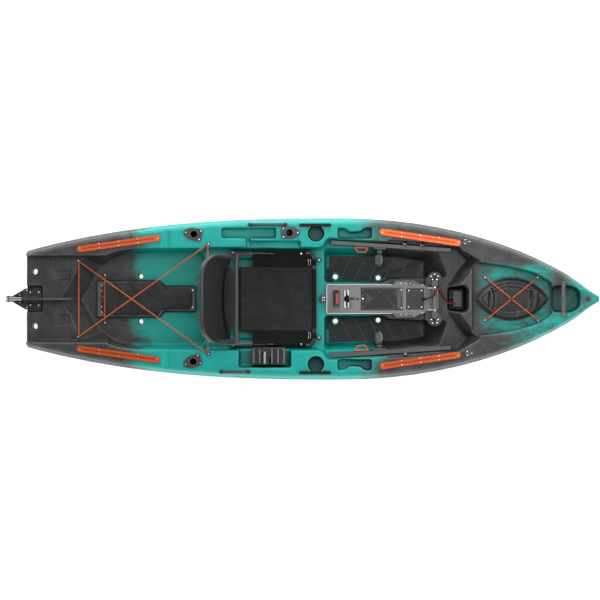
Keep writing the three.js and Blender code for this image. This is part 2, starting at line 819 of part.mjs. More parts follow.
const CONTROL_FLOOR = MIDSHIP_HEIGHT - CONTROL_TRAY_DEPTH;

function controlBox() {
  const base = CONTROL_FLOOR + FIT;
  const box = prism(rounded(rectangle(-334, -144, -368, -272), 8), base, base + 66);
  const ribs = Array.from({ length: 6 }, (_, i) => -322 + 34 * i)
    .filter((x) => Math.abs(x - LEVER_X) > 26)
    .map((x) => block(x - 5, x + 5, -362, -280, base + 60, base + 74));
  const ears = [-366, -296].map((y) => block(LEVER_X - 14, LEVER_X + 14, y, y + 5, base + 60, LEVER_Z + 9));
  const holes = crossBar(LEVER_X, LEVER_Z, -390, -270, 4 + FIT, 14);
  return cut(join(box, ...ribs, ...ears), holes);
}

const LEVER_X = -260;
const LEVER_Z = CONTROL_FLOOR + 80;

function speedLever() {
  const pin = crossBar(LEVER_X, LEVER_Z, -366, -291, 4, 14);
  const hub = crossBar(LEVER_X, LEVER_Z, -359, -298, 9, 14);
  const paddle = prism(rounded(rectangle(LEVER_X - 5, LEVER_X + 5, -357, -300), 3), LEVER_Z, LEVER_Z + 34);
  return join(pin, hub, paddle);
}

function junctionBlock() {
  const base = RECESS_FLOOR + FIT;
  const box = block(800, 848, -44, 44, base, base + 46);
  const sockets = [-24, 8].map((y) => bar([776, y, base + 24], [802, y, base + 24], 9, 12));
  return join(box, ...sockets);
}

// ---------- drive cassette ----------

function hingeBlock(side) {
  const centre = side * BLOCK_Y;
  const base = FORE_PLATFORM + FIT;
  const disc = prism(circle(AXLE_X, centre, BLOCK_RADIUS, 24), base, base + 9, -0.3);
  const inner = side > 0 ? centre - BLOCK_RADIUS + 2 : -centre - BLOCK_RADIUS + 2;
  const post = side > 0
    ? block(AXLE_X - 16, AXLE_X + 16, inner, inner + 34, base + 4, AXLE_Z + 15)
    : block(AXLE_X - 16, AXLE_X + 16, -inner - 34, -inner, base + 4, AXLE_Z + 15);
  const bore = crossBar(AXLE_X, AXLE_Z, centre - 60, centre + 60, AXLE_RADIUS + FIT, 20);
  return cut(join(disc, post), bore);
}

const CONSOLE_HALF = TUNNEL_HALF - CONSOLE_SIDE_GAP;
const CONSOLE_AFT = TUNNEL_AFT + CONSOLE_SIDE_GAP;
const NOSE_HALF = TUNNEL_NOSE_HALF - CONSOLE_SIDE_GAP;
const LID_RECESS = rectangle(278, 514, -64, 64);
const ELECTRONICS_RECESS = rectangle(534, 634, -60, 60);
const LID_DEPTH = 12;
const ELECTRONICS_DEPTH = 8;

function consoleHousing() {
  const deckHalf = [
    [AXLE_X - 36, NOSE_HALF], [620, CONSOLE_HALF], [580, SHOULDER_HALF], [480, SHOULDER_HALF],
    [452, CONSOLE_HALF], [CONSOLE_AFT, CONSOLE_HALF],
  ];
  const lowHalf = [[TUNNEL_NOSE_X - 24, CONSOLE_HALF], [CONSOLE_AFT, CONSOLE_HALF]];
  const seam = COCKPIT_FLOOR + 4;
  const deck = prism(rounded(bothSides(deckHalf), 6), seam, CONSOLE_TOP);
  const tub = prism(rounded(bothSides(lowHalf), 6), CONSOLE_BOTTOM, seam + 1);
  const nose = block(AXLE_X - 50, AXLE_X, -NOSE_HALF, NOSE_HALF, AXLE_Z - 12, AXLE_Z + 1);
  const knuckle = crossBar(AXLE_X, AXLE_Z, -NOSE_HALF, NOSE_HALF, KNUCKLE_RADIUS, 20);
  const body = join(deck, tub, nose, knuckle);
  const inside = block(CONSOLE_AFT + 90, TUNNEL_NOSE_X - 32, -CONSOLE_HALF + 6, CONSOLE_HALF - 6,
    CONSOLE_BOTTOM - 5, CONSOLE_TOP - 26);
  const hollows = [
    inside,
    prism(LID_RECESS, CONSOLE_TOP - LID_DEPTH, SKY),
    prism(ELECTRONICS_RECESS, CONSOLE_TOP - ELECTRONICS_DEPTH, SKY),
    prism(rounded(rectangle(122, 156, -50, 50), 12), CONSOLE_TOP - 34, SKY),
    prism(rounded(rectangle(186, 212, -53, 53), 10), CONSOLE_TOP - 34, SKY),
    prism(rectangle(205, 270, -7, 7), CONSOLE_TOP - 8, SKY),
    crossBar(AXLE_X, AXLE_Z, -SHOULDER_HALF, SHOULDER_HALF, AXLE_RADIUS + FIT, 20),
  ];
  const socket = block(LEG_X - 52, LEG_X + 52, -30, 30, CONSOLE_BOTTOM, CONSOLE_TOP - 20);
  return join(cut(body, ...hollows), socket);
}

function consoleLid() {
  const outline = rounded(grow(LID_RECESS, -FIT), 5);
  const base = CONSOLE_TOP - LID_DEPTH + FIT;
  const plate = prism(outline, base, CONSOLE_TOP - 4);
  const [x0, x1] = [LID_RECESS[0][0] + 8, LID_RECESS[1][0] - 36];
  const rib = ([ax, ay], [bx, by]) => {
    const length = Math.hypot(bx - ax, by - ay);
    const geometry = new THREE.BoxGeometry(length, 6, 6);
    geometry.rotateZ(Math.atan2(by - ay, bx - ax));
    return solid(geometry.translate((ax + bx) / 2, (ay + by) / 2, CONSOLE_TOP - 3));
  };
  const middle = (x0 + x1) / 2;
  const ribs = [
    rib([x0, 56], [x1, 56]), rib([x0, -56], [x1, -56]), rib([x0, -52], [middle + 30, 54]),
    rib([x0, 52], [middle + 30, -54]), rib([middle - 8, 54], [x1, -52]), rib([middle - 8, -54], [x1, 52]),
  ];
  const strip = block(x1 + 8, x1 + 26, -54, 54, base, CONSOLE_TOP + 1);
  return join(plate, ...ribs, strip);
}

function electronicsCover() {
  const outline = rounded(grow(ELECTRONICS_RECESS, -FIT), 9);
  const base = CONSOLE_TOP - ELECTRONICS_DEPTH + FIT;
  const plate = prism(outline, base, CONSOLE_TOP + 2, -0.2);
  const corner = (x) => [-46, 46].map((y) => uprightBar(x, y, CONSOLE_TOP - 1, SKY, 6, 12));
  return cut(plate, ...corner(548), ...corner(620));
}

function hingeAxle() {
  return crossBar(AXLE_X, AXLE_Z, -AXLE_HALF, AXLE_HALF, AXLE_RADIUS, 20);
}

function releaseTrigger() {
  const base = CONSOLE_TOP - 34 + FIT;
  return prism(rounded(rectangle(138, 154, -30, 30), 5), base, CONSOLE_TOP - 4);
}

function driveLeg() {
  const half = [[LEG_X + 48, 6], [LEG_X + 30, 18], [LEG_X - 20, 20], [LEG_X - 50, 5]];
  const blade = prism(rounded(bothSides(half), 8), POD_Z + POD_RADIUS - 8, CONSOLE_BOTTOM - FIT);
  const pod = bar([POD_AFT - 20, 0, POD_Z], [POD_FORE + 20, 0, POD_Z], POD_RADIUS + FIT, 24);
  const flange = rounded(rectangle(LEG_X - 52, LEG_X + 52, -24, 24), 10);
  return cut(join(blade, prism(flange, CONSOLE_BOTTOM - 12, CONSOLE_BOTTOM - FIT)), pod);
}

function motorPod() {
  const length = POD_FORE - POD_AFT;
  const profile = [
    [0, 0], [SHAFT_RADIUS + 10, 0], [POD_RADIUS - 6, 8], [POD_RADIUS, 26], [POD_RADIUS, length - 46],
    [POD_RADIUS - 7, length - 20], [POD_RADIUS - 20, length - 5], [0, length],
  ];
  const geometry = turned(profile, 24);
  geometry.rotateZ(-Math.PI / 2);
  geometry.translate(POD_AFT, 0, POD_Z);
  const bore = bar([POD_AFT - 5, 0, POD_Z], [POD_AFT + 60, 0, POD_Z], SHAFT_RADIUS + FIT, 16);
  return cut(solid(geometry), bore);
}

// A swept blade drawn standing up from the hub, twisted so that its tip is flatter than its root.
function propellerBlade() {
  const rings = [[14, 15, 52], [30, 22, 40], [48, 25, 30], [62, 19, 24], [PROP_RADIUS, 7, 20]].map(
    ([radius, chord, pitch]) => {
      const lean = radians(pitch);
      const sweep = -4 + 0.0022 * radius * radius;
      const [aft, fore] = [-0.5 * chord, 0.6 * chord];
      const corners = [[-chord, 0], [aft, -2.2], [fore, -2], [chord, 0], [fore, 2], [aft, 2.4]];
      return corners.map(([across, thick]) => new THREE.Vector3(
        across * Math.sin(lean) * 0.5 + thick * Math.cos(lean),
        across * Math.cos(lean) - thick * Math.sin(lean) + sweep,
        radius,
      ));
    },
  );
  return rings;
}

function propeller() {
  const [radius, length] = [PROP_HUB_RADIUS, PROP_HUB_LENGTH];
  const hub = turned([[0, 0], [radius, 0], [radius, length - 8], [radius - 7, length], [0, length]]);
  hub.rotateZ(Math.PI / 2);
  hub.translate(PROP_HUB_LENGTH / 2, 0, 0);
  const blades = [0, 1, 2].map((i) => {
    const turn = new THREE.Matrix4().makeRotationX((2 * Math.PI * i) / 3);
    const rings = propellerBlade().map((ring) => ring.map((point) => point.applyMatrix4(turn)));
    return turnedLoft(rings, turn.clone().invert());
  });
  const bore = bar([-40, 0, 0], [40, 0, 0], SHAFT_RADIUS + FIT, 16);
  return cut(join(solid(hub), ...blades), bore);
}

function turnedLoft(rings, backToLevel) {
  return loft(rings, (point) => seenFromAbove(point.clone().applyMatrix4(backToLevel)));
}

function propellerShaft() {
  return bar([PROP_X - PROP_HUB_LENGTH / 2 - 16, 0, POD_Z], [POD_AFT + 56, 0, POD_Z], SHAFT_RADIUS, 16);
}

function propellerNut() {
  const x = PROP_X - PROP_HUB_LENGTH / 2 - FIT;
  const nut = bar([x - 10, 0, POD_Z], [x, 0, POD_Z], 12, 6);
  return cut(nut, bar([x - 40, 0, POD_Z], [x + 10, 0, POD_Z], SHAFT_RADIUS + FIT, 16));
}

function consoleLatch() {
  const base = COCKPIT_FLOOR + 1.5;
  const tip = CONSOLE_AFT - 3;
  const outline = bothSides([[tip, 7], [tip - 13, 15], [CONSOLE_AFT - 34, 19]]);
  const lever = prism(rounded(outline, 4), base, base + 17);
  return join(lever, crossBar(CONSOLE_AFT - 34, base + 8.5, -19, 19, 8.5, 14));
}

const CABLE_RADIUS = 4.5;
const CABLE_TOP = AXLE_Z + 21;
const CABLE_AFT = [
  [632, 0, CONSOLE_TOP + 8], [641, 1, CONSOLE_TOP + 17], [652, 4, CONSOLE_TOP + 24], [668, 9, AXLE_Z + 19],
  [682, 14, CABLE_TOP], [690, 20, CABLE_TOP], [AXLE_X, 28, CABLE_TOP], [AXLE_X, 37, CABLE_TOP],
];
const CABLE_FORE = [
  [AXLE_X, 37 + FIT, CABLE_TOP], [AXLE_X, 42, CABLE_TOP], [698, 48, CABLE_TOP], [708, 52, AXLE_Z + 17],
  [717, 51, AXLE_Z + 8], [724, 44, FORE_PLATFORM + 12], [732, 32, FORE_PLATFORM + 8],
  [742, 14, FORE_PLATFORM + 7], [752, -4, FORE_PLATFORM + 7], [764, -17, FORE_PLATFORM + 7], [778, -23, FORE_PLATFORM + 6],
  [792, -24, FORE_PLATFORM - 2], [803, -24, FORE_PLATFORM - 16], [808, -24, RECESS_FLOOR + 56],
  [809, -24, RECESS_FLOOR + 47.5],
];

// ---------- rudder ----------

const RUDDER_PIN_X = STERN_X - RUDDER_PIN_BACK;
const YOKE_Z = STERN_PLATFORM + 2;
const BLADE_PIN_X = RUDDER_PIN_X - RUDDER_ARM;
const BLADE_LOW = STERN_PLATFORM + BLADE_LIFT;
const BLADE_PIN_Z = BLADE_LOW + 16;

function rudderBracket() {
  const base = STERN_PLATFORM - 30 + FIT;
  const plate = block(STERN_X + 6, STERN_X + 80, -50, 50, base, base + 8);
  const web = block(STERN_X - 20, STERN_X + 60, -18, 18, base, base + 20);
  const eye = uprightBar(RUDDER_PIN_X, 0, base, base + 20, 18, 18);
  const bore = uprightBar(RUDDER_PIN_X, 0, DEEP, SKY, RUDDER_PIN_RADIUS + FIT, 16);
  return cut(join(plate, web, eye), bore);
}

function rudderPin() {
  const base = STERN_PLATFORM - 30 + FIT;
  const head = uprightBar(RUDDER_PIN_X, 0, base - 8, base - FIT, 11, 12);
  return join(head, uprightBar(RUDDER_PIN_X, 0, base - 2, YOKE_Z - 2, RUDDER_PIN_RADIUS, 16));
}

function rudderHead() {
  const low = STERN_PLATFORM - 30 + FIT + 20 + 1;
  const horn = [[RUDDER_PIN_X + 20, 52], [RUDDER_PIN_X + 12, 62]];
  const half = [...horn, [BLADE_PIN_X + 18, 16], [BLADE_PIN_X + 14, 12]];
  const yoke = prism(rounded(bothSides(half), 6), low, low + 9);
  const fork = block(BLADE_PIN_X - 14, BLADE_PIN_X + 40, -16, 16, low, BLADE_PIN_Z + 9);
  const gap = block(BLADE_PIN_X - 40, BLADE_PIN_X + 70, -7, 7, low - 5, SKY);
  const pinBore = uprightBar(RUDDER_PIN_X, 0, DEEP, SKY, RUDDER_PIN_RADIUS + FIT, 16);
  const bladeBore = crossBar(BLADE_PIN_X, BLADE_PIN_Z, -30, 30, BLADE_PIN_RADIUS + FIT, 14);
  return cut(join(yoke, fork), gap, pinBore, bladeBore);
}

function bladePin() {
  return crossBar(BLADE_PIN_X, BLADE_PIN_Z, -20, 20, BLADE_PIN_RADIUS, 14);
}

// The blade lies forward over the stern deck with its leading edge up.
function rudderBlade() {
  const low = BLADE_LOW;
  const outline = [
    [BLADE_PIN_X - 12, low + 4], [BLADE_PIN_X + 40, low], [BLADE_PIN_X + BLADE_LENGTH - 30, low],
    [BLADE_PIN_X + BLADE_LENGTH, low + 18], [BLADE_PIN_X + BLADE_LENGTH - 20, low + 66],
    [BLADE_PIN_X + 180, low + 96], [BLADE_PIN_X + 70, low + 60], [BLADE_PIN_X + 20, low + 34],
    [BLADE_PIN_X - 12, low + 28],
  ];
  const half = BLADE_THICKNESS / 2;
  const ring = (y) => rounded(outline, 12).map(([x, z]) => new THREE.Vector3(x, y, z)).reverse();
  const flatten = (point) => new THREE.Vector2(point.z, point.x);
  const blade = loft([ring(-half), ring(half)], flatten);
  return cut(blade, crossBar(BLADE_PIN_X, BLADE_PIN_Z, -30, 30, BLADE_PIN_RADIUS + FIT, 14));
}

// ---------- foot braces (port side; starboard is their mirror) ----------

// A point beside the rail, by its distance forward and its distance inboard of the cockpit wall.
function beside(x, inboard, z) {
  return [x, railWall(x) - inboard, z];
}

function alongRail(x0, x1, near, far, z0, z1) {
  const outline = [beside(x0, far, 0), beside(x1, far, 0), beside(x1, near, 0), beside(x0, near, 0)];
  return prism(outline.map(([x, y]) => [x, y]), z0, z1);
}

function footRail() {
  const [low, high] = [RAIL_Z - RAIL_HEIGHT / 2, RAIL_Z + RAIL_HEIGHT / 2];
  const rail = alongRail(RAIL_AFT, RAIL_FORE, 1, 1 + RAIL_WIDTH, low, high);
  const slot = alongRail(RAIL_AFT + 20, RAIL_FORE - 20, 15, 1 + RAIL_WIDTH + 5, RAIL_Z - 5, RAIL_Z + 5);
  return cut(rail, slot);
}

function pedalY() {
  return railWall(PEDAL_X) - 1 - RAIL_WIDTH;
}

function footCarriage() {
  const face = 1 + RAIL_WIDTH + 1;
  const slider = alongRail(PEDAL_X - 34, PEDAL_X + 34, face, face + 9, RAIL_Z - 15, RAIL_Z + 15);
  const tongue = alongRail(PEDAL_X - 26, PEDAL_X + 26, 16, face + 2, RAIL_Z - 4, RAIL_Z + 4);
  const [aft, fore] = [PEDAL_X - 13, PEDAL_X + 13];
  const armFace = pedalY() - PEDAL_INSET;
  const arm = block(aft, fore, armFace, armFace + 10, PEDAL_PIN_Z - 14, RAIL_Z + 8);
  const bridge = block(aft, fore, armFace, pedalY() - 4, RAIL_Z - 8, RAIL_Z + 8);
  const pinEnd = armFace - 10 - PEDAL_WIDTH;
  const pin = crossBar(PEDAL_X, PEDAL_PIN_Z, armFace + 4, pinEnd, PEDAL_PIN_RADIUS, 14);
  const rod = bar(beside(PEDAL_X - 60, face + 5, RAIL_Z), beside(PEDAL_X - 30, face + 5, RAIL_Z), 4, 10);
  return join(slider, tongue, bridge, arm, pin, rod);
}

function pedal() {
  const outer = pedalY() - PEDAL_INSET - 4;
  const inner = outer - PEDAL_WIDTH;
  const hub = crossBar(PEDAL_X, PEDAL_PIN_Z, inner, outer, 12, 16);
  const plate = new THREE.BoxGeometry(9, PEDAL_WIDTH, PEDAL_HEIGHT);
  plate.rotateY(radians(14));
  plate.translate(PEDAL_X - 3, (inner + outer) / 2, PEDAL_PIN_Z + 4);
  const bore = crossBar(PEDAL_X, PEDAL_PIN_Z, inner - 20, outer + 20, PEDAL_PIN_RADIUS + FIT, 14);
  return cut(join(hub, solid(plate)), bore);
}

function adjusterLoop() {
  const face = 1 + RAIL_WIDTH + 1;
  const fore = PEDAL_X - 62;
  const outline = [
    beside(fore - 82, face + 2, 0), beside(fore - 66, face + 36, 0), beside(fore - 14, face + 36, 0),
    beside(fore, face + 2, 0),
  ].map(([x, y]) => [x, y]);
  const low = RAIL_Z - 4;
  const hole = rounded(grow(outline, -8), 5);
  return cut(prism(rounded(outline, 8), low, low + 8), prism(hole, low - 5, low + 13));
}

// ---------- seat ----------

function seatFrame() {
  const [low, half] = [SEAT_TUBE_Z, SEAT_HALF];
  const loop = tube(bent([
    [SEAT_AFT, half, low], [SEAT_FORE, half, low], [SEAT_FORE, -half, low], [SEAT_AFT, -half, low],
  ], 40, 3), SEAT_TUBE, 12);
  const cross = crossBar(SEAT_AFT + 32, low, -half, half, SEAT_TUBE, 12);
  const feet = [SEAT_AFT + 50, SEAT_FORE - 70].flatMap((x) => [-1, 1].map((side) =>
    block(x - 18, x + 18, side * half - 10, side * half + 10, COCKPIT_FLOOR + FIT, low)));
  const ears = [-1, 1].map((side) => {
    const inner = side > 0 ? half - 4 : -half - 4;
    const ear = block(RECLINE_X - 16, RECLINE_X + 16, inner, inner + 8, low, RECLINE_Z + 15);
    return cut(ear, crossBar(RECLINE_X, RECLINE_Z, inner - 20, inner + 30, RECLINE_PIN + FIT, 14));
  });
  return join(loop, cross, ...feet, ...ears);
}

function seatSling() {
  const edge = SEAT_HALF - SEAT_TUBE - 3;
  const aft = SEAT_AFT + 32 + SEAT_TUBE + 3;
  const fore = SEAT_FORE - SEAT_TUBE - 3;
  const outline = bothSides([[fore, edge - 34], [fore - 34, edge], [-343, edge], [-350, 183], [aft, 183]]);
  return prism(rounded(outline, 12), SEAT_TUBE_Z - 6, SEAT_TUBE_Z + 6);
}

// Places a point of the seat back by its height up the back, its side and its distance in front.
function onBack(up, side, front) {
  const lean = radians(BACK_LEAN);
  return [
    RECLINE_X - up * Math.sin(lean) + front * Math.cos(lean), side,
    RECLINE_Z + up * Math.cos(lean) + front * Math.sin(lean),
  ];
}

function backFrame() {
  const arch = tube(bent([
    onBack(-8, BACK_HALF, 0), onBack(300, BACK_HALF, 0), onBack(BACK_LENGTH, 178, 0),
    onBack(BACK_LENGTH, -178, 0), onBack(300, -BACK_HALF, 0), onBack(-8, -BACK_HALF, 0),
  ], 70, 3), SEAT_TUBE, 12);
  const pins = [-1, 1].map((side) =>
    crossBar(RECLINE_X, RECLINE_Z, side * BACK_HALF, side * (SEAT_HALF + 8), RECLINE_PIN, 14));
  return join(arch, ...pins);
}

function onBackRing(outline, front) {
  return outline.map(([side, up]) => new THREE.Vector3(...onBack(up, side, front)));
}

function backPad(half, low, high, topHalf, near, far) {
  const outline = rounded([[half, low], [half, (low + high) / 2], [topHalf, high], [-topHalf, high],
    [-half, (low + high) / 2], [-half, low]], 30);
  const flatten = (point) => new THREE.Vector2(point.y, point.z);
  return loft([onBackRing(outline, near), onBackRing(outline, far)], flatten);
}

function backPanel() {
  return backPad(BACK_HALF - SEAT_TUBE - 4, 40, BACK_LENGTH - SEAT_TUBE - 4, 150, -6, 6);
}

function lumbarPad() {
  return backPad(190, 36, 176, 176, 7, 46);
}

function reclineStrap(side) {
  const from = onBack(214, 0, 14);
  const to = [-196, 0, SEAT_TUBE_Z + SEAT_TUBE + 15];
  const along = new THREE.Vector3(...to).sub(new THREE.Vector3(...from));
  const strap = new THREE.BoxGeometry(along.length(), 3, 24);
  strap.rotateY(-Math.atan2(along.z, along.x));
  const centre = new THREE.Vector3(...from).addScaledVector(along, 0.5);
  return solid(strap.translate(centre.x, side * (SEAT_HALF - 1), centre.z));
}

// ---------- assembly ----------

function handed(name, shape, finish) {
  return [piece(`${name}_port`, shape, finish), piece(`${name}_starboard`, flipped(shape), finish)];
}

const kayak = new THREE.Group();

kayak.add(piece('hull', hull(), TEAL));

kayak.add(
  ...gearTracks(),
  ...ROD_HOLDERS.map((spot) => piece(spot.name, rodHolder(spot), BLACK)),
  piece('side_handle_port', sideHandle(-353, -135, 1), BLACK),
  piece('side_handle_starboard', sideHandle(-513, -343, -1), BLACK),
  piece('bow_handle', bowHandle(), GREY),
  ...handed('gunwale_bumper', bumperStrip(1), RUBBER),
  placedDrainPlug(),
  ...handed('deck_pad', deckPad(), FOAM),
  piece('battery_cover', batteryCover(), BLACK),
  piece('battery', battery(), CHARCOAL),
  piece('tank_bungee', tankCord(), ORANGE_CORD),
  piece('battery_cover_bungee', coverCord(), ORANGE_CORD),
);

kayak.add(
  piece('hatch_cover', hatchCover(), BLACK),
  piece('hatch_bungee', hatchCord(), ORANGE_CORD),
);

kayak.add(
  piece('control_box', controlBox(), BLACK),
  piece('speed_lever', speedLever(), STEEL),
  piece('junction_block', junctionBlock(), BLACK),
  piece('power_cable_fore', tube(CABLE_FORE, CABLE_RADIUS, 8), RUBBER),
);

const drive = new THREE.Group();
const propellerMesh = piece('propeller', propeller(), BLACK);
propellerMesh.position.set(PROP_X, 0, POD_Z);
drive.add(
  piece('console_housing', consoleHousing(), CHARCOAL),
  piece('console_lid', consoleLid(), BLACK),
  piece('electronics_cover', electronicsCover(), BLACK),
  piece('hinge_axle', hingeAxle(), STEEL),
  piece('release_trigger', releaseTrigger(), RED),
  piece('drive_leg', driveLeg(), BLACK_METAL),
  piece('motor_pod', motorPod(), BLACK_METAL),
  piece('propeller_shaft', propellerShaft(), STEEL),
  propellerMesh,
  piece('propeller_nut', propellerNut(), STEEL),
  piece('power_cable_aft', tube(CABLE_AFT, CABLE_RADIUS, 8), RUBBER),
);
kayak.add(drive);

kayak.add(
  piece('hinge_block_port', hingeBlock(1), BLACK),
  piece('hinge_block_starboard', hingeBlock(-1), BLACK),
  piece('console_latch', consoleLatch(), BLACK),
);

const rudder = new THREE.Group();
rudder.add(
  piece('rudder_bracket', rudderBracket(), BLACK_METAL),
  piece('rudder_pin', rudderPin(), STEEL),
  piece('rudder_head', rudderHead(), BLACK),
  piece('rudder_blade_pin', bladePin(), STEEL),
  piece('rudder_blade', rudderBlade(), BLACK),
);
kayak.add(rudder);

kayak.add(
  ...handed('foot_rail', footRail(), BLACK_METAL),
  ...handed('foot_carriage', footCarriage(), BLACK),
  ...handed('pedal', pedal(), GREY),
  ...handed('adjuster_loop', adjusterLoop(), ORANGE_PLASTIC),
);

const seat = new THREE.Group();
seat.add(
  piece('seat_frame', seatFrame(), BLACK_METAL),
  piece('seat_sling', seatSling(), FABRIC),
  piece('back_frame', backFrame(), BLACK_METAL),
  piece('back_panel', backPanel(), FABRIC),
  piece('lumbar_pad', lumbarPad(), FABRIC),
  piece('recline_strap_port', reclineStrap(1), RUBBER),
  piece('recline_strap_starboard', reclineStrap(-1), RUBBER),
);
kayak.add(seat);

export default kayak;
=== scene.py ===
"""The finished look of a sit-on-top fishing kayak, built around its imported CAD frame.

Metres. +X is the bow, +Y port and +Z up, and the keel stands on z = 0.
"""

import math

import bmesh
import bpy
from mathutils import Matrix, Vector, noise


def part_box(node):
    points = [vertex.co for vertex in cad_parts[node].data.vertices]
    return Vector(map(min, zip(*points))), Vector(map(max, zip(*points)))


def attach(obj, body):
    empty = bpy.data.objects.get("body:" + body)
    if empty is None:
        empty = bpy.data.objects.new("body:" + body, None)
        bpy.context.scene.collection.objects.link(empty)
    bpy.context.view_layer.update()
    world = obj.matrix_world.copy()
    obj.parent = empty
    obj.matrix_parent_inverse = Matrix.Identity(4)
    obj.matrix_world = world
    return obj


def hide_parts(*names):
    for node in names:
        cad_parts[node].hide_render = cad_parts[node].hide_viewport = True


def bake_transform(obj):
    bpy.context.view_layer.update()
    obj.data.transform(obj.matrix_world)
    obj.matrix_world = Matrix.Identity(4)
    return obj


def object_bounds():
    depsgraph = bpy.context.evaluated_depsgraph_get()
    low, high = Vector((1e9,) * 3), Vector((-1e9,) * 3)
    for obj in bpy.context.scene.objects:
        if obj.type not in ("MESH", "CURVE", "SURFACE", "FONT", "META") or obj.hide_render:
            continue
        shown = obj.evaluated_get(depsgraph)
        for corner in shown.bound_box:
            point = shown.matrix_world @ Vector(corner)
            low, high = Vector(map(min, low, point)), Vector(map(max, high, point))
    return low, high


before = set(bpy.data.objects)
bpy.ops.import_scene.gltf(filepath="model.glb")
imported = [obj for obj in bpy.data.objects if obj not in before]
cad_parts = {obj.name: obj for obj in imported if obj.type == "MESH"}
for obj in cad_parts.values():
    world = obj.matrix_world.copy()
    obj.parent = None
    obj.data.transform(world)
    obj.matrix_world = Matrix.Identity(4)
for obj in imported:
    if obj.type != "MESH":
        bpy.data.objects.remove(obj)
cad_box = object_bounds()

ROOT = "hull_assembly"
SIDES = {"port": 1, "starboard": -1}


# ---------- places on the frame ----------

def spot(node, along=0.5, across=0.5, up=0.5):
    """A point in a node's box, by its share of the box along X, Y and Z."""
    low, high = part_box(node)
    return Vector((low[i] + (high[i] - low[i]) * share for i, share in enumerate((along, across, up))))


HULL_LOW, HULL_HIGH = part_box("hull")
HALF_LENGTH = HULL_HIGH.x
RAIL_AFT = 0.112
RAIL_WALL = 0.330
RAIL_SLOPE = -0.0653
PEDAL_X = 0.384
PEDAL_PIN_Z = 0.204
FOOT_SCUPPERS = ((0.138, 0.126), (0.381, 0.120))
CUP = (0.026, 0.366)
AXLE = Vector((0.694, 0, 0.250))
MIDSHIP_HEIGHT = 0.335
STERN_HEIGHT = 0.300


def sheer(x):
    """Height of the gunwale."""
    end = STERN_HEIGHT if x < 0 else HULL_HIGH.z
    return MIDSHIP_HEIGHT + (end - MIDSHIP_HEIGHT) * (x / HALF_LENGTH) ** 2


# ---------- meshes ----------

def circle(radius, count, phase=0.0):
    return [(radius * math.cos(phase + 2 * math.pi * i / count),
             radius * math.sin(phase + 2 * math.pi * i / count))
            for i in range(count)]


def smooth_path(points, steps=6, closed=False):
    """A Catmull-Rom curve through the points."""
    points = [Vector(p) for p in points]
    count = len(points)
    spans = count if closed else count - 1
    path = []
    for i in range(spans):
        if closed:
            p0, p1, p2, p3 = (points[(i + k) % count] for k in (-1, 0, 1, 2))
        else:
            p0, p1, p2, p3 = (points[min(max(i + k, 0), count - 1)] for k in (-1, 0, 1, 2))
        for s in range(steps):
            t = s / steps
            path.append(0.5 * (2 * p1 + (p2 - p0) * t + (2 * p0 - 5 * p1 + 4 * p2 - p3) * t * t
                               + (3 * p1 - p0 - 3 * p2 + p3) * t ** 3))
    return path if closed else path + [points[-1]]


def rounded_path(points, radius, steps=6):
    """The same corners with each turned into a short arc-like curve."""
    points = [Vector(p) for p in points]
    path = [points[0]]
    for before, here, after in zip(points, points[1:], points[2:]):
        reach = min(radius, 0.48 * (before - here).length, 0.48 * (after - here).length)
        start = here + (before - here).normalized() * reach
        end = here + (after - here).normalized() * reach
        for s in range(steps + 1):
            t = s / steps
            path.append(start * (1 - t) ** 2 + here * 2 * t * (1 - t) + end * t * t)
    return path + [points[-1]]


def rounded_outline(corners, radius, steps=4):
    """A closed outline in the plane with its corners rounded."""
    outline = []
    for i, corner in enumerate(corners):
        here, before, after = Vector(corner), Vector(corners[i - 1]), Vector(corners[(i + 1) % len(corners)])
        reach = min(radius, 0.48 * (before - here).length, 0.48 * (after - here).length)
        start = here + (before - here).normalized() * reach
        end = here + (after - here).normalized() * reach
        for s in range(steps + 1):
            t = s / steps
            outline.append(tuple(start * (1 - t) ** 2 + here * 2 * t * (1 - t) + end * t * t))
    return outline


def box_outline(x0, x1, y0, y1):
    return [(x0, y0), (x1, y0), (x1, y1), (x0, y1)]


def lens_outline(aft, fore, half, steps=24):
    """A long pointed oval, as the bow hatch."""
    middle, reach = (aft + fore) / 2, (fore - aft) / 2
    side = []
    for i in range(steps + 1):
        t = 1 - 2 * i / steps
        side.append((middle + reach * t, half * max(0.0, 1 - t * t) ** 0.8))
    return side + [(x, -y) for x, y in reversed(side[1:-1])]


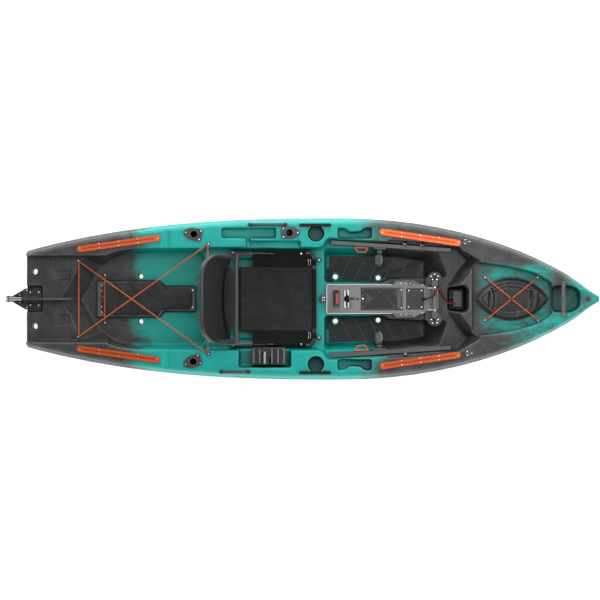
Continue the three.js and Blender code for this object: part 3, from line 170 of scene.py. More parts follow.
class Shape:
    """Several simple forms gathered into one mesh."""

    def __init__(self):
        self.mesh = bmesh.new()
        self.uv = self.mesh.loops.layers.uv.new("UVMap")

    def skin(self, rings, closed=False, caps=True):
        rows = [[self.mesh.verts.new(p) for p in ring] for ring in rings]
        pairs = list(zip(rows, rows[1:])) + ([(rows[-1], rows[0])] if closed else [])
        for level, (a, b) in enumerate(pairs):
            count = len(a)
            for i in range(count):
                j = (i + 1) % count
                face = self.mesh.faces.new((a[i], a[j], b[j], b[i]))
                corners = ((i, level), (i + 1, level), (i + 1, level + 1), (i, level + 1))
                for loop, (u, v) in zip(face.loops, corners):
                    loop[self.uv].uv = (u / count, v)
        if caps and not closed:
            self.mesh.faces.new(rows[0][::-1])
            self.mesh.faces.new(rows[-1])
        return self

    def tube(self, path, radius, count=12, closed=False, flat=None):
        """A round bar along a path, or an oval one where flat = (width, thickness) gives its half sizes."""
        path = [Vector(p) for p in path]
        total = len(path)
        rings = []
        normal = None
        for i, here in enumerate(path):
            if closed:
                along = (path[(i + 1) % total] - path[i - 1]).normalized()
            else:
                along = (path[min(i + 1, total - 1)] - path[max(i - 1, 0)]).normalized()
            if normal is None:
                normal = along.orthogonal().normalized()
                if flat and abs(along.z) < 0.9:
                    normal = along.cross(Vector((0, 0, 1))).normalized()
            normal = (normal - along * normal.dot(along)).normalized()
            other = along.cross(normal)
            size = radius(i / max(1, total - 1)) if callable(radius) else radius
            wide, thick = flat if flat else (size, size)
            rings.append([here + normal * wide * x + other * thick * y for x, y in circle(1, count)])
        return self.skin(rings, closed)

    def lathe(self, profile, at, axis, count=24):
        """A turned form: profile lists radius and distance along the axis."""
        axis = Vector(axis).normalized()
        side = axis.orthogonal().normalized()
        other = axis.cross(side)
        rings = [[Vector(at) + axis * height + side * x + other * y for x,
                  y in circle(max(radius, 1e-5), count)]
                 for radius, height in profile]
        return self.skin(rings)

    def ring(self, profile, at, axis, count=32):
        """A closed ring turned about the axis: profile is a loop of radius and height."""
        axis = Vector(axis).normalized()
        side = axis.orthogonal().normalized()
        other = axis.cross(side)
        rings = [[Vector(at) + axis * height + side * x * radius + other * y * radius for radius,
                  height in profile]
                 for x, y in circle(1, count)]
        return self.skin(rings, closed=True)

    def prism(self, outline, low, high, taper=0.0, place=None):
        """An upright slab of an outline. Taper draws the top edge in by a chamfer."""
        def level(inset, z):
            return [Vector((x, y, z)) for x, y in inset_outline(outline, inset)]
        rings = [level(0, low), level(0, high - taper),
                 level(taper, high)] if taper else [level(0, low), level(0, high)]
        if place is not None:
            rings = [[place @ p for p in ring] for ring in rings]
        return self.skin(rings)

    def box(self, low, high, chamfer=0.0):
        return self.prism(box_outline(low[0], high[0], low[1], high[1]), low[2], high[2], chamfer)

    def object(self, name):
        bmesh.ops.recalc_face_normals(self.mesh, faces=self.mesh.faces)
        data = bpy.data.meshes.new(name)
        self.mesh.to_mesh(data)
        self.mesh.free()
        made = bpy.data.objects.new(name, data)
        bpy.context.scene.collection.objects.link(made)
        return made


def inset_outline(outline, distance):
    """The outline with every edge moved inwards by the same distance."""
    if not distance:
        return outline
    area = sum(a[0] * b[1] - b[0] * a[1] for a, b in zip(outline, outline[1:] + outline[:1]))
    turn = 1 if area > 0 else -1
    moved = []
    for i, point in enumerate(outline):
        here, before, after = Vector(point), Vector(outline[i - 1]), Vector(outline[(i + 1) % len(outline)])
        into, out = (here - before).normalized(), (after - here).normalized()
        normal = Vector((-into.y - out.y, into.x + out.x)) * turn
        moved.append(tuple(here + normal * (distance / max(0.35, 1 + into.dot(out)))))
    return moved


def apply_modifiers(made):
    depsgraph = bpy.context.evaluated_depsgraph_get()
    data = bpy.data.meshes.new_from_object(made.evaluated_get(depsgraph))
    made.modifiers.clear()
    made.data = data
    return made


def smooth(made, angle=38):
    """Smooth faces with sharp edges kept where the surface turns by more than the angle."""
    data = made.data
    if data.has_custom_normals:
        data.attributes.remove(data.attributes["custom_normal"])
    data.shade_smooth()
    data.set_sharp_from_angle(angle=math.radians(angle))
    return made


def soften(made, width, segments=2, angle=32):
    """Rounds hard edges so that they catch the light."""
    weld = made.modifiers.new("weld", "WELD")
    weld.merge_threshold = 0.00002
    bevel = made.modifiers.new("edges", "BEVEL")
    bevel.width = width
    bevel.segments = segments
    bevel.limit_method = "ANGLE"
    bevel.angle_limit = math.radians(angle)
    bevel.harden_normals = True
    return made


def place(made, material, body, slot, replaces=()):
    """Gives a finished piece its material and body. The slot argument is not used."""
    made.data.materials.clear()
    made.data.materials.append(material)
    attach(made, body)
    if replaces:
        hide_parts(*replaces)
    return made


# ---------- materials ----------

class Finish:
    """A procedural material on one Principled shader. Its patterns read object coordinates."""

    def __init__(self, name, roughness=0.5, metallic=0.0, **sockets):
        self.material = bpy.data.materials.new(name)
        self.material.use_nodes = True
        self.tree = self.material.node_tree
        self.shader = self.tree.nodes["Principled BSDF"]
        self.shader.inputs["Roughness"].default_value = roughness
        self.shader.inputs["Metallic"].default_value = metallic
        for socket, value in sockets.items():
            self.shader.inputs[socket.replace("_", " ")].default_value = value
        self.place = self.node("ShaderNodeTexCoord").outputs["Object"]
        self.last_bump = None

    def node(self, kind, **inputs):
        made = self.tree.nodes.new(kind)
        for socket, value in inputs.items():
            self.feed(made.inputs[socket.replace("_", " ")], value)
        return made

    def feed(self, socket, value):
        if isinstance(value, bpy.types.NodeSocket):
            self.tree.links.new(value, socket)
        else:
            socket.default_value = value

    def mapped(self, scale=(1, 1, 1), rotation=(0, 0, 0), source=None):
        return self.node("ShaderNodeMapping", Vector=source or self.place, Scale=scale,
                         Rotation=rotation).outputs["Vector"]

    def noise(self, scale, detail=3.0, rough=0.55, stretch=(1, 1, 1), distortion=0.0, source=None):
        made = self.node("ShaderNodeTexNoise", Vector=self.mapped(stretch, source=source), Scale=scale,
                         Detail=detail, Roughness=rough, Distortion=distortion)
        return made.outputs["Fac"]

    def bands(self, direction, period, sharp=1.0, source=None, rotation=(0, 0, 0)):
        """A sine of the distance along a direction, 0 to 1."""
        dot = self.tree.nodes.new("ShaderNodeVectorMath")
        dot.operation = "DOT_PRODUCT"
        self.feed(dot.inputs[0], source or self.mapped(rotation=rotation))
        dot.inputs[1].default_value = Vector(direction).normalized() * (2 * math.pi / period)
        wave = self.maths("SINE", dot.outputs["Value"])
        return self.remap(wave, -1 / sharp, 1 / sharp, 0, 1)

    def maths(self, operation, a, b=0.0):
        made = self.tree.nodes.new("ShaderNodeMath")
        made.operation = operation
        self.feed(made.inputs[0], a)
        self.feed(made.inputs[1], b)
        return made.outputs[0]

    def remap(self, value, from_low, from_high, to_low=0.0, to_high=1.0):
        made = self.node("ShaderNodeMapRange", Value=value)
        for index, number in zip((1, 2, 3, 4), (from_low, from_high, to_low, to_high)):
            made.inputs[index].default_value = number
        return made.outputs[0]

    def axis(self, name, source=None):
        return self.node("ShaderNodeSeparateXYZ", Vector=source or self.place).outputs[name]

    def ramp(self, value, *stops):
        made = self.node("ShaderNodeValToRGB", Fac=value)
        band = made.color_ramp.elements
        while len(band) < len(stops):
            band.new(0.5)
        for element, (position, colour) in zip(band, stops):
            element.position = position
            element.color = (*colour, 1) if isinstance(colour, tuple) else (colour, colour, colour, 1)
        return made.outputs["Color"]

    def mix(self, share, a, b):
        made = self.tree.nodes.new("ShaderNodeMix")
        made.data_type = "RGBA"
        self.feed(made.inputs[0], share)
        for socket, value in ((made.inputs[6], a), (made.inputs[7], b)):
            self.feed(socket, (*value, 1) if isinstance(value, tuple) else value)
        return made.outputs[2]

    def multiply(self, colour, factor):
        made = self.tree.nodes.new("ShaderNodeVectorMath")
        made.operation = "SCALE"
        self.feed(made.inputs[0], colour)
        self.feed(made.inputs["Scale"], factor)
        return made.outputs[0]

    def colour(self, value):
        self.feed(self.shader.inputs["Base Color"], (*value, 1) if isinstance(value, tuple) else value)
        return self

    def rough(self, value):
        self.feed(self.shader.inputs["Roughness"], value)
        return self

    def bump(self, height, distance, strength=1.0):
        made = self.node("ShaderNodeBump", Height=height, Distance=distance, Strength=strength)
        if self.last_bump is not None:
            self.tree.links.new(self.last_bump, made.inputs["Normal"])
        self.last_bump = made.outputs["Normal"]
        self.tree.links.new(self.last_bump, self.shader.inputs["Normal"])
        return self

    def pale_wear_and_highlight_edges(self, colour, edge, amount=0.6):
        """Pale edges where the surface is sharply convex: partly polish from wear, partly a painted highlight."""
        point = self.node("ShaderNodeNewGeometry").outputs["Pointiness"]
        share = self.remap(point, 0.505, 0.56, 0.0, amount)
        return self.mix(share, colour, edge)


TEAL = (0.0, 0.50, 0.43)
PALE_TEAL = (0.12, 0.72, 0.66)


def hull_finish():
    """Teal polyethylene that marbles into charcoal at both ends, as two colours of powder melt together."""
    f = Finish("hull_marbled", 0.42, Specular_IOR_Level=0.45)
    x, y = f.axis("X"), f.axis("Y")
    swirl = f.noise(2.4, 4, 0.6, (1, 1.4, 2), 1.6)
    streaks = f.noise(9, 6, 0.65, (0.6, 1.6, 1), 2.2)
    wander = f.maths("ADD", f.maths("MULTIPLY", swirl, 0.34), f.maths("MULTIPLY", streaks, 0.16))
    along = f.maths("ADD", x, f.maths("SUBTRACT", wander, 0.25))
    stern_share = f.remap(along, -1.03, -0.90, 1, 0)
    fore_edge = f.maths("SUBTRACT", along, f.remap(f.maths("ABSOLUTE", y), 0.26, 0.36, 0, 0.02))
    bow_share = f.remap(fore_edge, 0.22, 0.44, 0, 1)
    ends = f.maths("MAXIMUM", stern_share, bow_share)

    # teal comes back beside the hatch and at the tip of the bow
    hatch_zone = f.maths("MULTIPLY", f.remap(x, 0.90, 1.02), f.remap(x, 1.28, 1.38, 1, 0))
    inner = f.remap(f.maths("ABSOLUTE", y), 0.16, 0.215, 1, 0)
    tip_zone = f.remap(f.maths("ADD", x, f.maths("MULTIPLY", y, -0.5)), 1.33, 1.44)
    starboard = f.maths("MULTIPLY", f.remap(y, -0.03, -0.10), f.remap(along, 1.10, 1.28))
    returns = f.maths("MAXIMUM", f.maths("MULTIPLY", hatch_zone, inner),
                      f.maths("MAXIMUM", tip_zone, starboard))
    veins = f.remap(f.noise(7, 8, 0.7, (0.7, 1.5, 1), 3.0), 0.36, 0.58)
    returns = f.maths("MULTIPLY", returns, f.maths("ADD", f.maths("MULTIPLY", veins, 0.75), 0.22))
    charcoal_share = f.maths("MULTIPLY", ends, f.maths("SUBTRACT", 1, returns))
    charcoal_share = f.remap(charcoal_share, 0.08, 0.92)

    grain = f.noise(160, 4, 0.7)
    cloud = f.noise(14, 5, 0.6, distortion=0.6)
    teal = f.mix(f.remap(cloud, 0.35, 0.7), TEAL, (0.0, 0.58, 0.50))
    charcoal = f.mix(f.remap(cloud, 0.3, 0.72), (0.024, 0.0245, 0.0255), (0.095, 0.096, 0.098))
    charcoal = f.mix(f.remap(grain, 0.35, 0.75, 0, 0.35), charcoal, (0.16, 0.16, 0.16))
    base = f.mix(charcoal_share, teal, charcoal)
    # pale edges: partly wear, partly a painted highlight along the convex edges
    wear_and_highlight = f.pale_wear_and_highlight_edges(base, f.mix(charcoal_share, PALE_TEAL, (0.34, 0.34, 0.34)), 0.55)
    # painted shade: ambient occlusion darkens the colour in recesses, creases and under parts
    shade = f.node("ShaderNodeAmbientOcclusion", Distance=0.16).outputs["AO"]
    f.colour(f.multiply(wear_and_highlight, f.remap(shade, 0.2, 0.9, 0.22, 1.0)))
    f.rough(f.remap(grain, 0.3, 0.7, 0.36, 0.52))
    f.bump(grain, 0.0004, 0.5)
    f.bump(f.noise(38, 2), 0.0012, 0.25)
    return f.material


def moulded_plastic(name, dark, light, roughness=0.45, grain=420, edge=(0.25, 0.25, 0.26), bump=0.00018):
    f = Finish(name, roughness, Specular_IOR_Level=0.5)
    cloud = f.noise(60, 4, 0.6)
    fine = f.noise(grain, 3, 0.6)
    base = f.mix(f.remap(cloud, 0.3, 0.7), dark, light)
    # pale edges: partly wear, partly a painted highlight
    f.colour(f.pale_wear_and_highlight_edges(base, edge, 0.5))
    f.rough(f.remap(fine, 0.3, 0.7, roughness - 0.08, roughness + 0.1))
    f.bump(fine, bump, 0.6)
    return f.material


def anodised(name, colour, deep):
    f = Finish(name, 0.34, 0.55, Specular_IOR_Level=0.55)
    brushed = f.noise(90, 4, 0.6, (0.05, 1.6, 1.6))
    base = f.mix(f.remap(brushed, 0.3, 0.7), deep, colour)
    # pale edges: partly wear, partly a painted highlight
    f.colour(f.pale_wear_and_highlight_edges(base, (1.0, 0.42, 0.16), 0.5))
    f.rough(f.remap(brushed, 0.3, 0.7, 0.28, 0.42))
    f.bump(brushed, 0.00008, 0.5)
    return f.material


def steel(name, tint=(0.62, 0.63, 0.64), roughness=0.24):
    f = Finish(name, roughness, 1.0)
    scratch = f.noise(240, 4, 0.6, (0.2, 2, 1))
    f.colour(f.mix(f.remap(scratch, 0.3, 0.7), tint, tuple(min(1, c * 1.25) for c in tint)))
    f.rough(f.remap(scratch, 0.3, 0.7, roughness - 0.06, roughness + 0.12))
    f.bump(scratch, 0.00005, 0.4)
    return f.material


def powder_coat(name, dark=(0.010, 0.010, 0.011), light=(0.03, 0.03, 0.032)):
    f = Finish(name, 0.36, 0.2, Specular_IOR_Level=0.6)
    peel = f.noise(700, 2, 0.5)
    # pale edges: partly wear, partly a painted highlight
    f.colour(f.pale_wear_and_highlight_edges(f.mix(f.remap(f.noise(30, 4), 0.3, 0.7), dark, light), (0.30, 0.29, 0.28), 0.4))
    f.rough(f.remap(peel, 0.3, 0.7, 0.3, 0.44))
    f.bump(peel, 0.00012, 0.5)
    return f.material


def woven(name, dark, light, period, lean=0.0, sheen=0.4, fuzz=0.5):
    """A plain weave laid in the piece's own plane, which leans back by the angle given."""
    f = Finish(name, 0.88, Sheen_Weight=sheen, Sheen_Roughness=0.5, Specular_IOR_Level=0.25)
    plane = f.mapped(rotation=(0, lean, 0))
    warp = f.bands((1, 0, 0), period, source=plane)
    weft = f.bands((0, 1, 0), period, source=plane)
    crossing = f.maths("ADD", f.maths("MULTIPLY", warp, weft),
                       f.maths("MULTIPLY", f.maths("SUBTRACT", 1, warp), f.maths("SUBTRACT", 1, weft)))
    mottle = f.noise(45, 5, 0.65)
    base = f.mix(crossing, dark, light)
    tired = f.mix(f.remap(mottle, 0.35, 0.75, 0, fuzz), base, light)
    f.colour(f.multiply(tired, f.remap(f.noise(9, 3), 0.3, 0.7, 0.8, 1.18)))
    f.bump(crossing, period * 0.22, 0.8)
    f.bump(f.noise(700, 2), 0.0002, 0.4)
    return f.material


def braided(name, dark, light):
    """A braided cord's strands, which wind both ways round it."""
    f = Finish(name, 0.7, Sheen_Weight=0.3, Specular_IOR_Level=0.3)
    uv = f.node("ShaderNodeTexCoord").outputs["UV"]
    one = f.bands((4, 1, 0), 0.25 * math.sqrt(17), source=uv)
    two = f.bands((4, -1, 0), 0.25 * math.sqrt(17), source=uv)
    strands = f.maths("MAXIMUM", one, two)
    fleck = f.remap(f.noise(900, 2), 0.45, 0.6)
    f.colour(f.mix(f.maths("MULTIPLY", strands, fleck), dark, light))
    f.bump(strands, 0.0005, 0.7)
    return f.material


def pad_foam():
    f = Finish("pad_foam", 0.82, Specular_IOR_Level=0.25)
    cells = f.node("ShaderNodeTexVoronoi", Vector=f.place, Scale=650.0).outputs["Distance"]
    mottle = f.noise(35, 5, 0.6)
    # pale edges: partly wear, partly a painted highlight
    f.colour(f.pale_wear_and_highlight_edges(f.mix(f.remap(mottle, 0.3, 0.7), (0.011, 0.012, 0.013), (0.026, 0.027, 0.029)),
                          (0.16, 0.17, 0.18), 0.5))
    f.bump(cells, 0.0003, 0.6)
    return f.material


def rubber_finish(name, colour=(0.016, 0.016, 0.017)):
    f = Finish(name, 0.7, Specular_IOR_Level=0.3)
    fine = f.noise(500, 3)
    f.colour(f.mix(f.remap(f.noise(40, 3), 0.3, 0.7), colour, tuple(c * 1.9 for c in colour)))
    f.rough(f.remap(fine, 0.3, 0.7, 0.6, 0.8))
    f.bump(fine, 0.0002, 0.4)
    return f.material


HULL = hull_finish()
BLACK_PLASTIC = moulded_plastic("black_plastic", (0.011, 0.011, 0.012), (0.028, 0.028, 0.029), 0.42)
HATCH_PLASTIC = moulded_plastic("hatch_plastic", (0.010, 0.010, 0.011), (0.030, 0.030, 0.031), 0.48)
MOTTLED_PLASTIC = moulded_plastic("mottled_plastic", (0.006, 0.006, 0.0065), (0.034, 0.034, 0.035), 0.48, 120)
CONSOLE_PLASTIC = moulded_plastic("console_plastic", (0.040, 0.041, 0.043), (0.095, 0.097, 0.10), 0.46,
                                  edge=(0.5, 0.5, 0.5))
GREY_PLASTIC = moulded_plastic("grey_plastic", (0.09, 0.092, 0.095), (0.17, 0.172, 0.175), 0.5,
                               edge=(0.5, 0.5, 0.5))
ORANGE_PLASTIC = moulded_plastic("orange_plastic", (0.80, 0.10, 0.012), (0.92, 0.15, 0.02), 0.42,
                                 edge=(1.0, 0.4, 0.15))
RED_PLASTIC = moulded_plastic("red_plastic", (0.45, 0.006, 0.008), (0.62, 0.012, 0.012), 0.34,
                              edge=(0.9, 0.2, 0.2))
ORANGE_METAL = anodised("orange_anodised", (0.80, 0.080, 0.006), (0.62, 0.052, 0.004))
STEEL = steel("stainless")
BRIGHT_STEEL = steel("bright_stainless", (0.78, 0.78, 0.79), 0.18)
BLACK_METAL = powder_coat("black_powder_coat")
CORD = braided("orange_braid", (0.78, 0.11, 0.008), (1.0, 0.30, 0.05))
SEAT_MESH = woven("seat_mesh_grey", (0.010, 0.010, 0.0105), (0.055, 0.055, 0.057), 0.0036, sheen=0.08)
SEAT_DARK = woven("seat_fabric_black", (0.005, 0.005, 0.0052), (0.018, 0.018, 0.0185), 0.0024, sheen=0.05)
BACK_DARK = woven("back_fabric_black", (0.005, 0.005, 0.0052), (0.018, 0.018, 0.0185), 0.0024,
                  math.radians(-21), sheen=0.05)
LUMBAR_FABRIC = woven("lumbar_fabric", (0.009, 0.009, 0.0095), (0.036, 0.036, 0.037), 0.0026,
                      math.radians(-21), sheen=0.08)
WEBBING = woven("webbing", (0.008, 0.008, 0.008), (0.03, 0.03, 0.03), 0.0019)
SEAM = woven("seam_thread", (0.004, 0.004, 0.004), (0.012, 0.012, 0.012), 0.0016)
FOAM = pad_foam()
GROOVE = rubber_finish("groove_grey", (0.11, 0.115, 0.12))
RUBBER = rubber_finish("black_rubber")
RED_WIRE = rubber_finish("red_wire", (0.42, 0.008, 0.010))


# ---------- the hull ----------

HATCH_LOW, HATCH_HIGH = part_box("hatch_cover")
HATCH_LIP = 0.024
BOW_DECK = 0.318
STERN_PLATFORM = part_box("rudder_bracket")[0].z + 0.0296
HOLDERS = {
    "rod_holder_rear_port": (-0.656, 0.362, -12),
    "rod_holder_rear_starboard": (-0.659, -0.350, 20),
    "rod_holder_side_port": (-0.122, 0.370, 180),
}
HOLDER_TILT = math.radians(25)


def holder_axis(x, y, yaw):
    """The point where a rod holder's bore meets the deck, and the direction down it."""
    turn = math.radians(yaw)
    down = Vector((-math.sin(HOLDER_TILT) * math.cos(turn), -math.sin(HOLDER_TILT) * math.sin(turn),
                   -math.cos(HOLDER_TILT)))
    return Vector((x, y, sheer(x))), down


def boolean(made, tool, operation, solver="EXACT"):
    cutter = made.modifiers.new(operation.lower(), "BOOLEAN")
    cutter.object = tool
    cutter.operation = operation
    cutter.solver = solver
    apply_modifiers(made)
    bpy.data.objects.remove(tool)
    return made


def plugs():
    """Slabs that close the deck's openings from inside, so that the moulding's outside is one closed surface."""
    shape = Shape()
    margin = 0.014
    shape.box((HATCH_LOW.x + margin, HATCH_LOW.y + margin, BOW_DECK - 0.016),
              (HATCH_HIGH.x - margin, HATCH_HIGH.y - margin, BOW_DECK - 0.001))
    for x, y, _ in HOLDERS.values():
        shape.box((x - 0.042, y - 0.030, sheer(x) - 0.016), (x + 0.042, y + 0.030, sheer(x) - 0.0015))
    return shape.object("plugs")


def hold_and_pockets():
    """The hold under the hatch and the pockets that the rod holders drop into."""
    shape = Shape()
    hole = lens_outline(HATCH_LOW.x + HATCH_LIP, HATCH_HIGH.x - HATCH_LIP, HATCH_HIGH.y - HATCH_LIP)
    shape.prism(hole, 0.17, BOW_DECK + 0.03)
    for x, y, yaw in HOLDERS.values():
        top, down = holder_axis(x, y, yaw)
        shape.tube([top - down * 0.03, top + down * 0.124], 0.0245, 24)
    return shape.object("hold_and_pockets")


def groove(shape, points, width, depth, top):
    """A channel along a line, as one closed cutter."""
    points = [Vector((x, y)) for x, y in points]
    left, right = [], []
    for i, here in enumerate(points):
        along = (points[min(i + 1, len(points) - 1)] - points[max(i - 1, 0)]).normalized()
        side = Vector((-along.y, along.x)) * width / 2
        left.append(tuple(here + side))
        right.append(tuple(here - side))
    shape.prism(right + left[::-1], top - depth, top + 0.02)


def relief_cuts():
    """Shallow recesses, seams and channels moulded into the deck."""
    shape = Shape()
    deck = STERN_PLATFORM
    for y in (0.134, -0.115):
        outline = rounded_outline(box_outline(-1.433, -1.352, y - 0.030, y + 0.030), 0.012)
        shape.prism(outline, deck - 0.007, deck + 0.02)
    for side in SIDES.values():
        groove(shape, [(-1.355, side * 0.172), (-1.355, side * 0.228)], 0.006, 0.006, deck)
        groove(shape, [(-1.578, side * 0.262), (-1.40, side * 0.276), (-1.345, side * 0.280)], 0.005, 0.006,
               sheer(-1.46))
        # a band across the gunwale just ahead of each rear track
        low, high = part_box("gear_track_rear_port")
        x = high.x + 0.035
        shape.prism(box_outline(x - 0.019, x + 0.019, side * 0.27, side * 0.45), sheer(x) - 0.006,
                    sheer(x) + 0.03)
        # recess under each front track's inner edge, for the paddle clips
        low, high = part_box("gear_track_front_port")
        near = [(low.x + 0.045, 0.333), (high.x - 0.10, 0.333 + RAIL_SLOPE * 0.30)]
        outline = [(x, side * (y + reach)) for (x, y), reach in ((near[0], -0.028), (near[1], -0.028),
                                                                (near[1], -0.002), (near[0], -0.002))]
        shape.prism(outline, 0.296, 0.45)
        # the seat's front feet stand between low steps
        for x in (0.038, 0.058):
            groove(shape, [(x, side * 0.075), (x, side * 0.20)], 0.006, 0.005, 0.215)
    # the channel between the port tray and the step recess
    shape.prism(box_outline(-0.366, -0.342, 0.275, 0.355), 0.302, 0.40)
    return shape.object("relief_cuts")


def relief_adds():
    """Low pads and ribs that stand up from the deck."""
    shape = Shape()
    for side in SIDES.values():
        # rings round the footwell scuppers
        for x, y in FOOT_SCUPPERS:
            profile = [(0.0155, -0.006), (0.0155, 0.006), (0.0195, 0.006), (0.0225, -0.006)]
            shape.ring(profile, (x, side * y, 0.095), (0, 0, 1), 24)
        # cups have a raised lip
        profile = [(0.0465, -0.006), (0.0465, 0.004), (0.052, 0.004), (0.057, -0.006)]
        shape.ring(profile, (CUP[0], side * CUP[1], MIDSHIP_HEIGHT + 0.0001), (0, 0, 1), 40)
    return shape.object("relief_adds")


def sculpt(x, y, z):
    """How far a point of the hull's side moves towards the middle: two long scallops and a rubbing strake."""
    height = z / sheer(x)
    scallop = 0.006 * max(0.0, 1 - ((height - 0.80) / 0.085) ** 2) ** 2
    strake = -0.003 * max(0.0, 1 - ((height - 0.655) / 0.035) ** 2)
    return scallop + strake


def hull_shell():
    made = bpy.data.objects.new("hull_shell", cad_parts["hull"].data.copy())
    bpy.context.scene.collection.objects.link(made)
    weld = made.modifiers.new("weld", "WELD")
    weld.merge_threshold = 0.00001
    apply_modifiers(made)
    boolean(made, plugs(), "UNION")
    outside = bmesh.new()
    outside.from_mesh(made.data)
    outside.verts.ensure_lookup_table()
    start = min(outside.verts, key=lambda v: v.co.x)
    reached, stack = {start}, [start]
    while stack:
        for edge in stack.pop().link_edges:
            for vert in edge.verts:
                if vert not in reached:
                    reached.add(vert)
                    stack.append(vert)
    bmesh.ops.delete(outside, geom=[v for v in outside.verts if v not in reached], context="VERTS")
    outside.to_mesh(made.data)
    outside.free()
    boolean(made, relief_adds(), "UNION")
    boolean(made, hold_and_pockets(), "DIFFERENCE")
    boolean(made, relief_cuts(), "DIFFERENCE")
    remesh = made.modifiers.new("voxels", "REMESH")
    remesh.mode = "VOXEL"
    remesh.voxel_size = 0.0050
    relax = made.modifiers.new("relax", "SMOOTH")
    relax.factor = 0.5
    relax.iterations = 4
    apply_modifiers(made)
    normals = [n.vector.copy() for n in made.data.vertex_normals]
    for vert, facing in zip(made.data.vertices, normals):
        x, y, z = vert.co
        steep = min(1.0, (abs(facing.y) - 0.35) * 3)
        if steep > 0 and y * facing.y > 0 and abs(y) > 0.28 * (1 - max(0.0, x) ** 2 * 0.34) and x > -1.59:
            vert.co.y -= math.copysign(sculpt(x, y, z) * steep, y)
        vert.co.x = max(HULL_LOW.x, min(HULL_HIGH.x, vert.co.x))
    data = made.data
    data.shade_smooth()
    return place(made, HULL, ROOT, "hull_plastic", ["hull"])


hull_shell()


# ---------- screws, eyes and other small hardware ----------

def screw(shape, at, axis=(0, 0, 1), radius=0.0045):
    """A pan head with a driver recess."""
    height = radius * 0.55
    profile = [(radius, -0.001), (radius, height * 0.35), (radius * 0.8, height),
               (radius * 0.42, height * 1.1),
               (radius * 0.32, height * 0.35), (0, height * 0.3)]
    return shape.lathe(profile, at, axis, 16)


def turn_to(point, heading, tilt=0.0):
    """Places a form drawn at the origin along +X."""
    return Matrix.Translation(Vector(point)) @ Matrix.Rotation(heading, 4,
                                                               "Z") @ Matrix.Rotation(tilt, 4, "Y")


def deck_eye(plastic, metal, at, heading):
    """A moulded cord hook: an oblong foot, a screw, and a nose that the cord loops under."""
    foot = rounded_outline([(-0.013, -0.0075), (0.010, -0.0075), (0.020, 0.0), (0.010, 0.0075),
                            (-0.013, 0.0075)], 0.005)
    here = turn_to(at, heading)
    plastic.prism(foot, -0.009, -0.003, 0.0015, here)
    nose = [here @ Vector(p) for p in ((0.004, 0, -0.006), (0.012, 0, 0.001), (0.019, 0, 0.001),
                                       (0.021, 0, -0.004))]
    plastic.tube(smooth_path(nose, 3), 0.0036, 8)
    screw(metal, here @ Vector((-0.005, 0, -0.003)), (0, 0, 1), 0.0042)


TANK_EYE_AFT = Vector((-1.307, 0.212, 0.239))
TANK_EYE_FORE = Vector((-0.578, 0.305, 0.341))
HATCH_EYE_AFT = Vector((0.976, 0.117, 0.327))
HATCH_EYE_FORE = Vector((1.262, 0.117, 0.327))


def flip(point, side):
    return Vector((point[0], side * point[1], point[2]))


def tank_cord():
    """One shock cord laced from eye to eye in a cross, with its two ends knotted at the same eye."""
    aft, fore = TANK_EYE_AFT, TANK_EYE_FORE
    lift = Vector((0, 0, 0.0045))
    corners = [flip(aft, 1), flip(fore, -1), flip(fore, 1), flip(aft, -1),
               flip(aft, 1) - Vector((0, 0.001, 0.009))]
    middle = (flip(aft, 1) + flip(fore, -1)) / 2
    path = []
    for i, (a, b) in enumerate(zip(corners, corners[1:])):
        hump = {0: lift, 2: -lift}.get(i)
        steps = 24
        for s in range(steps):
            t = s / steps
            point = a.lerp(b, t)
            if hump:
                point += hump * max(0.0, 1 - abs((point - middle).length) / 0.10)
            path.append(point)
    path.append(corners[-1])
    rounded = rounded_path_at(path, corners[1:-1], 0.012)
    return rounded


def rounded_path_at(path, corners, radius):
    """Rounds only the named corners of a long path."""
    result = []
    for point in path:
        near = min((point - c).length for c in corners)
        if near > radius or near < 1e-6:
            result.append(point)
    return rounded_path(result, radius * 0.9, 4)


tank_path = tank_cord()
tank_bungee = Shape().tube(tank_path, 0.0035, 12).object("tank_shock_cord")
smooth(tank_bungee, 80)
place(tank_bungee, CORD, ROOT, "orange_cord", ["tank_bungee"])


def cover_cord():
    low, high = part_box("battery_cover_bungee")
    x = (low.x + high.x) / 2
    half = high.y - 0.0025
    top = high.z - 0.0035
    foot = low.z + 0.004
    corners = [(x, -half, foot), (x, -half + 0.017, top), (x, half - 0.017, top), (x, half, foot)]
    return rounded_path(corners, 0.010, 5)


cover_path = cover_cord()
cover_bungee = Shape().tube(cover_path, 0.0035, 12).object("battery_cover_shock_cord")
smooth(cover_bungee, 80)
place(cover_bungee, CORD, ROOT, "orange_cord", ["battery_cover_bungee"])

eyes, eye_screws = Shape(), Shape()
for side in SIDES.values():
    deck_eye(eyes, eye_screws, flip(TANK_EYE_AFT, side), math.radians(side * -30))
    deck_eye(eyes, eye_screws, flip(TANK_EYE_FORE, side), math.radians(180 + side * 38))
    deck_eye(eyes, eye_screws, flip(HATCH_EYE_AFT, side), math.radians(side * -32))
    deck_eye(eyes, eye_screws, flip(HATCH_EYE_FORE, side), math.radians(180 + side * 32))
    cover_foot = cover_path[-1] if side > 0 else cover_path[0]
    deck_eye(eyes, eye_screws, cover_foot + Vector((0, side * 0.008, 0.0035)), math.radians(-90 * side))
place(smooth(eyes.object("cord_hooks")), BLACK_PLASTIC, ROOT, "black_plastic")
place(smooth(eye_screws.object("cord_hook_screws")), BRIGHT_STEEL, ROOT, "steel")

bead = Shape()
cross = (flip(TANK_EYE_AFT, 1) + flip(TANK_EYE_FORE, -1)) / 2
bead.ring([(0.0085, -0.0045), (0.011, -0.006), (0.0125, 0), (0.011, 0.006), (0.0085, 0.0045)], cross,
          (0, 0, 1), 24)
place(smooth(bead.object("tank_cord_bead"), 70), MOTTLED_PLASTIC, ROOT, "black_plastic")


# ---------- gear tracks and rod holders ----------

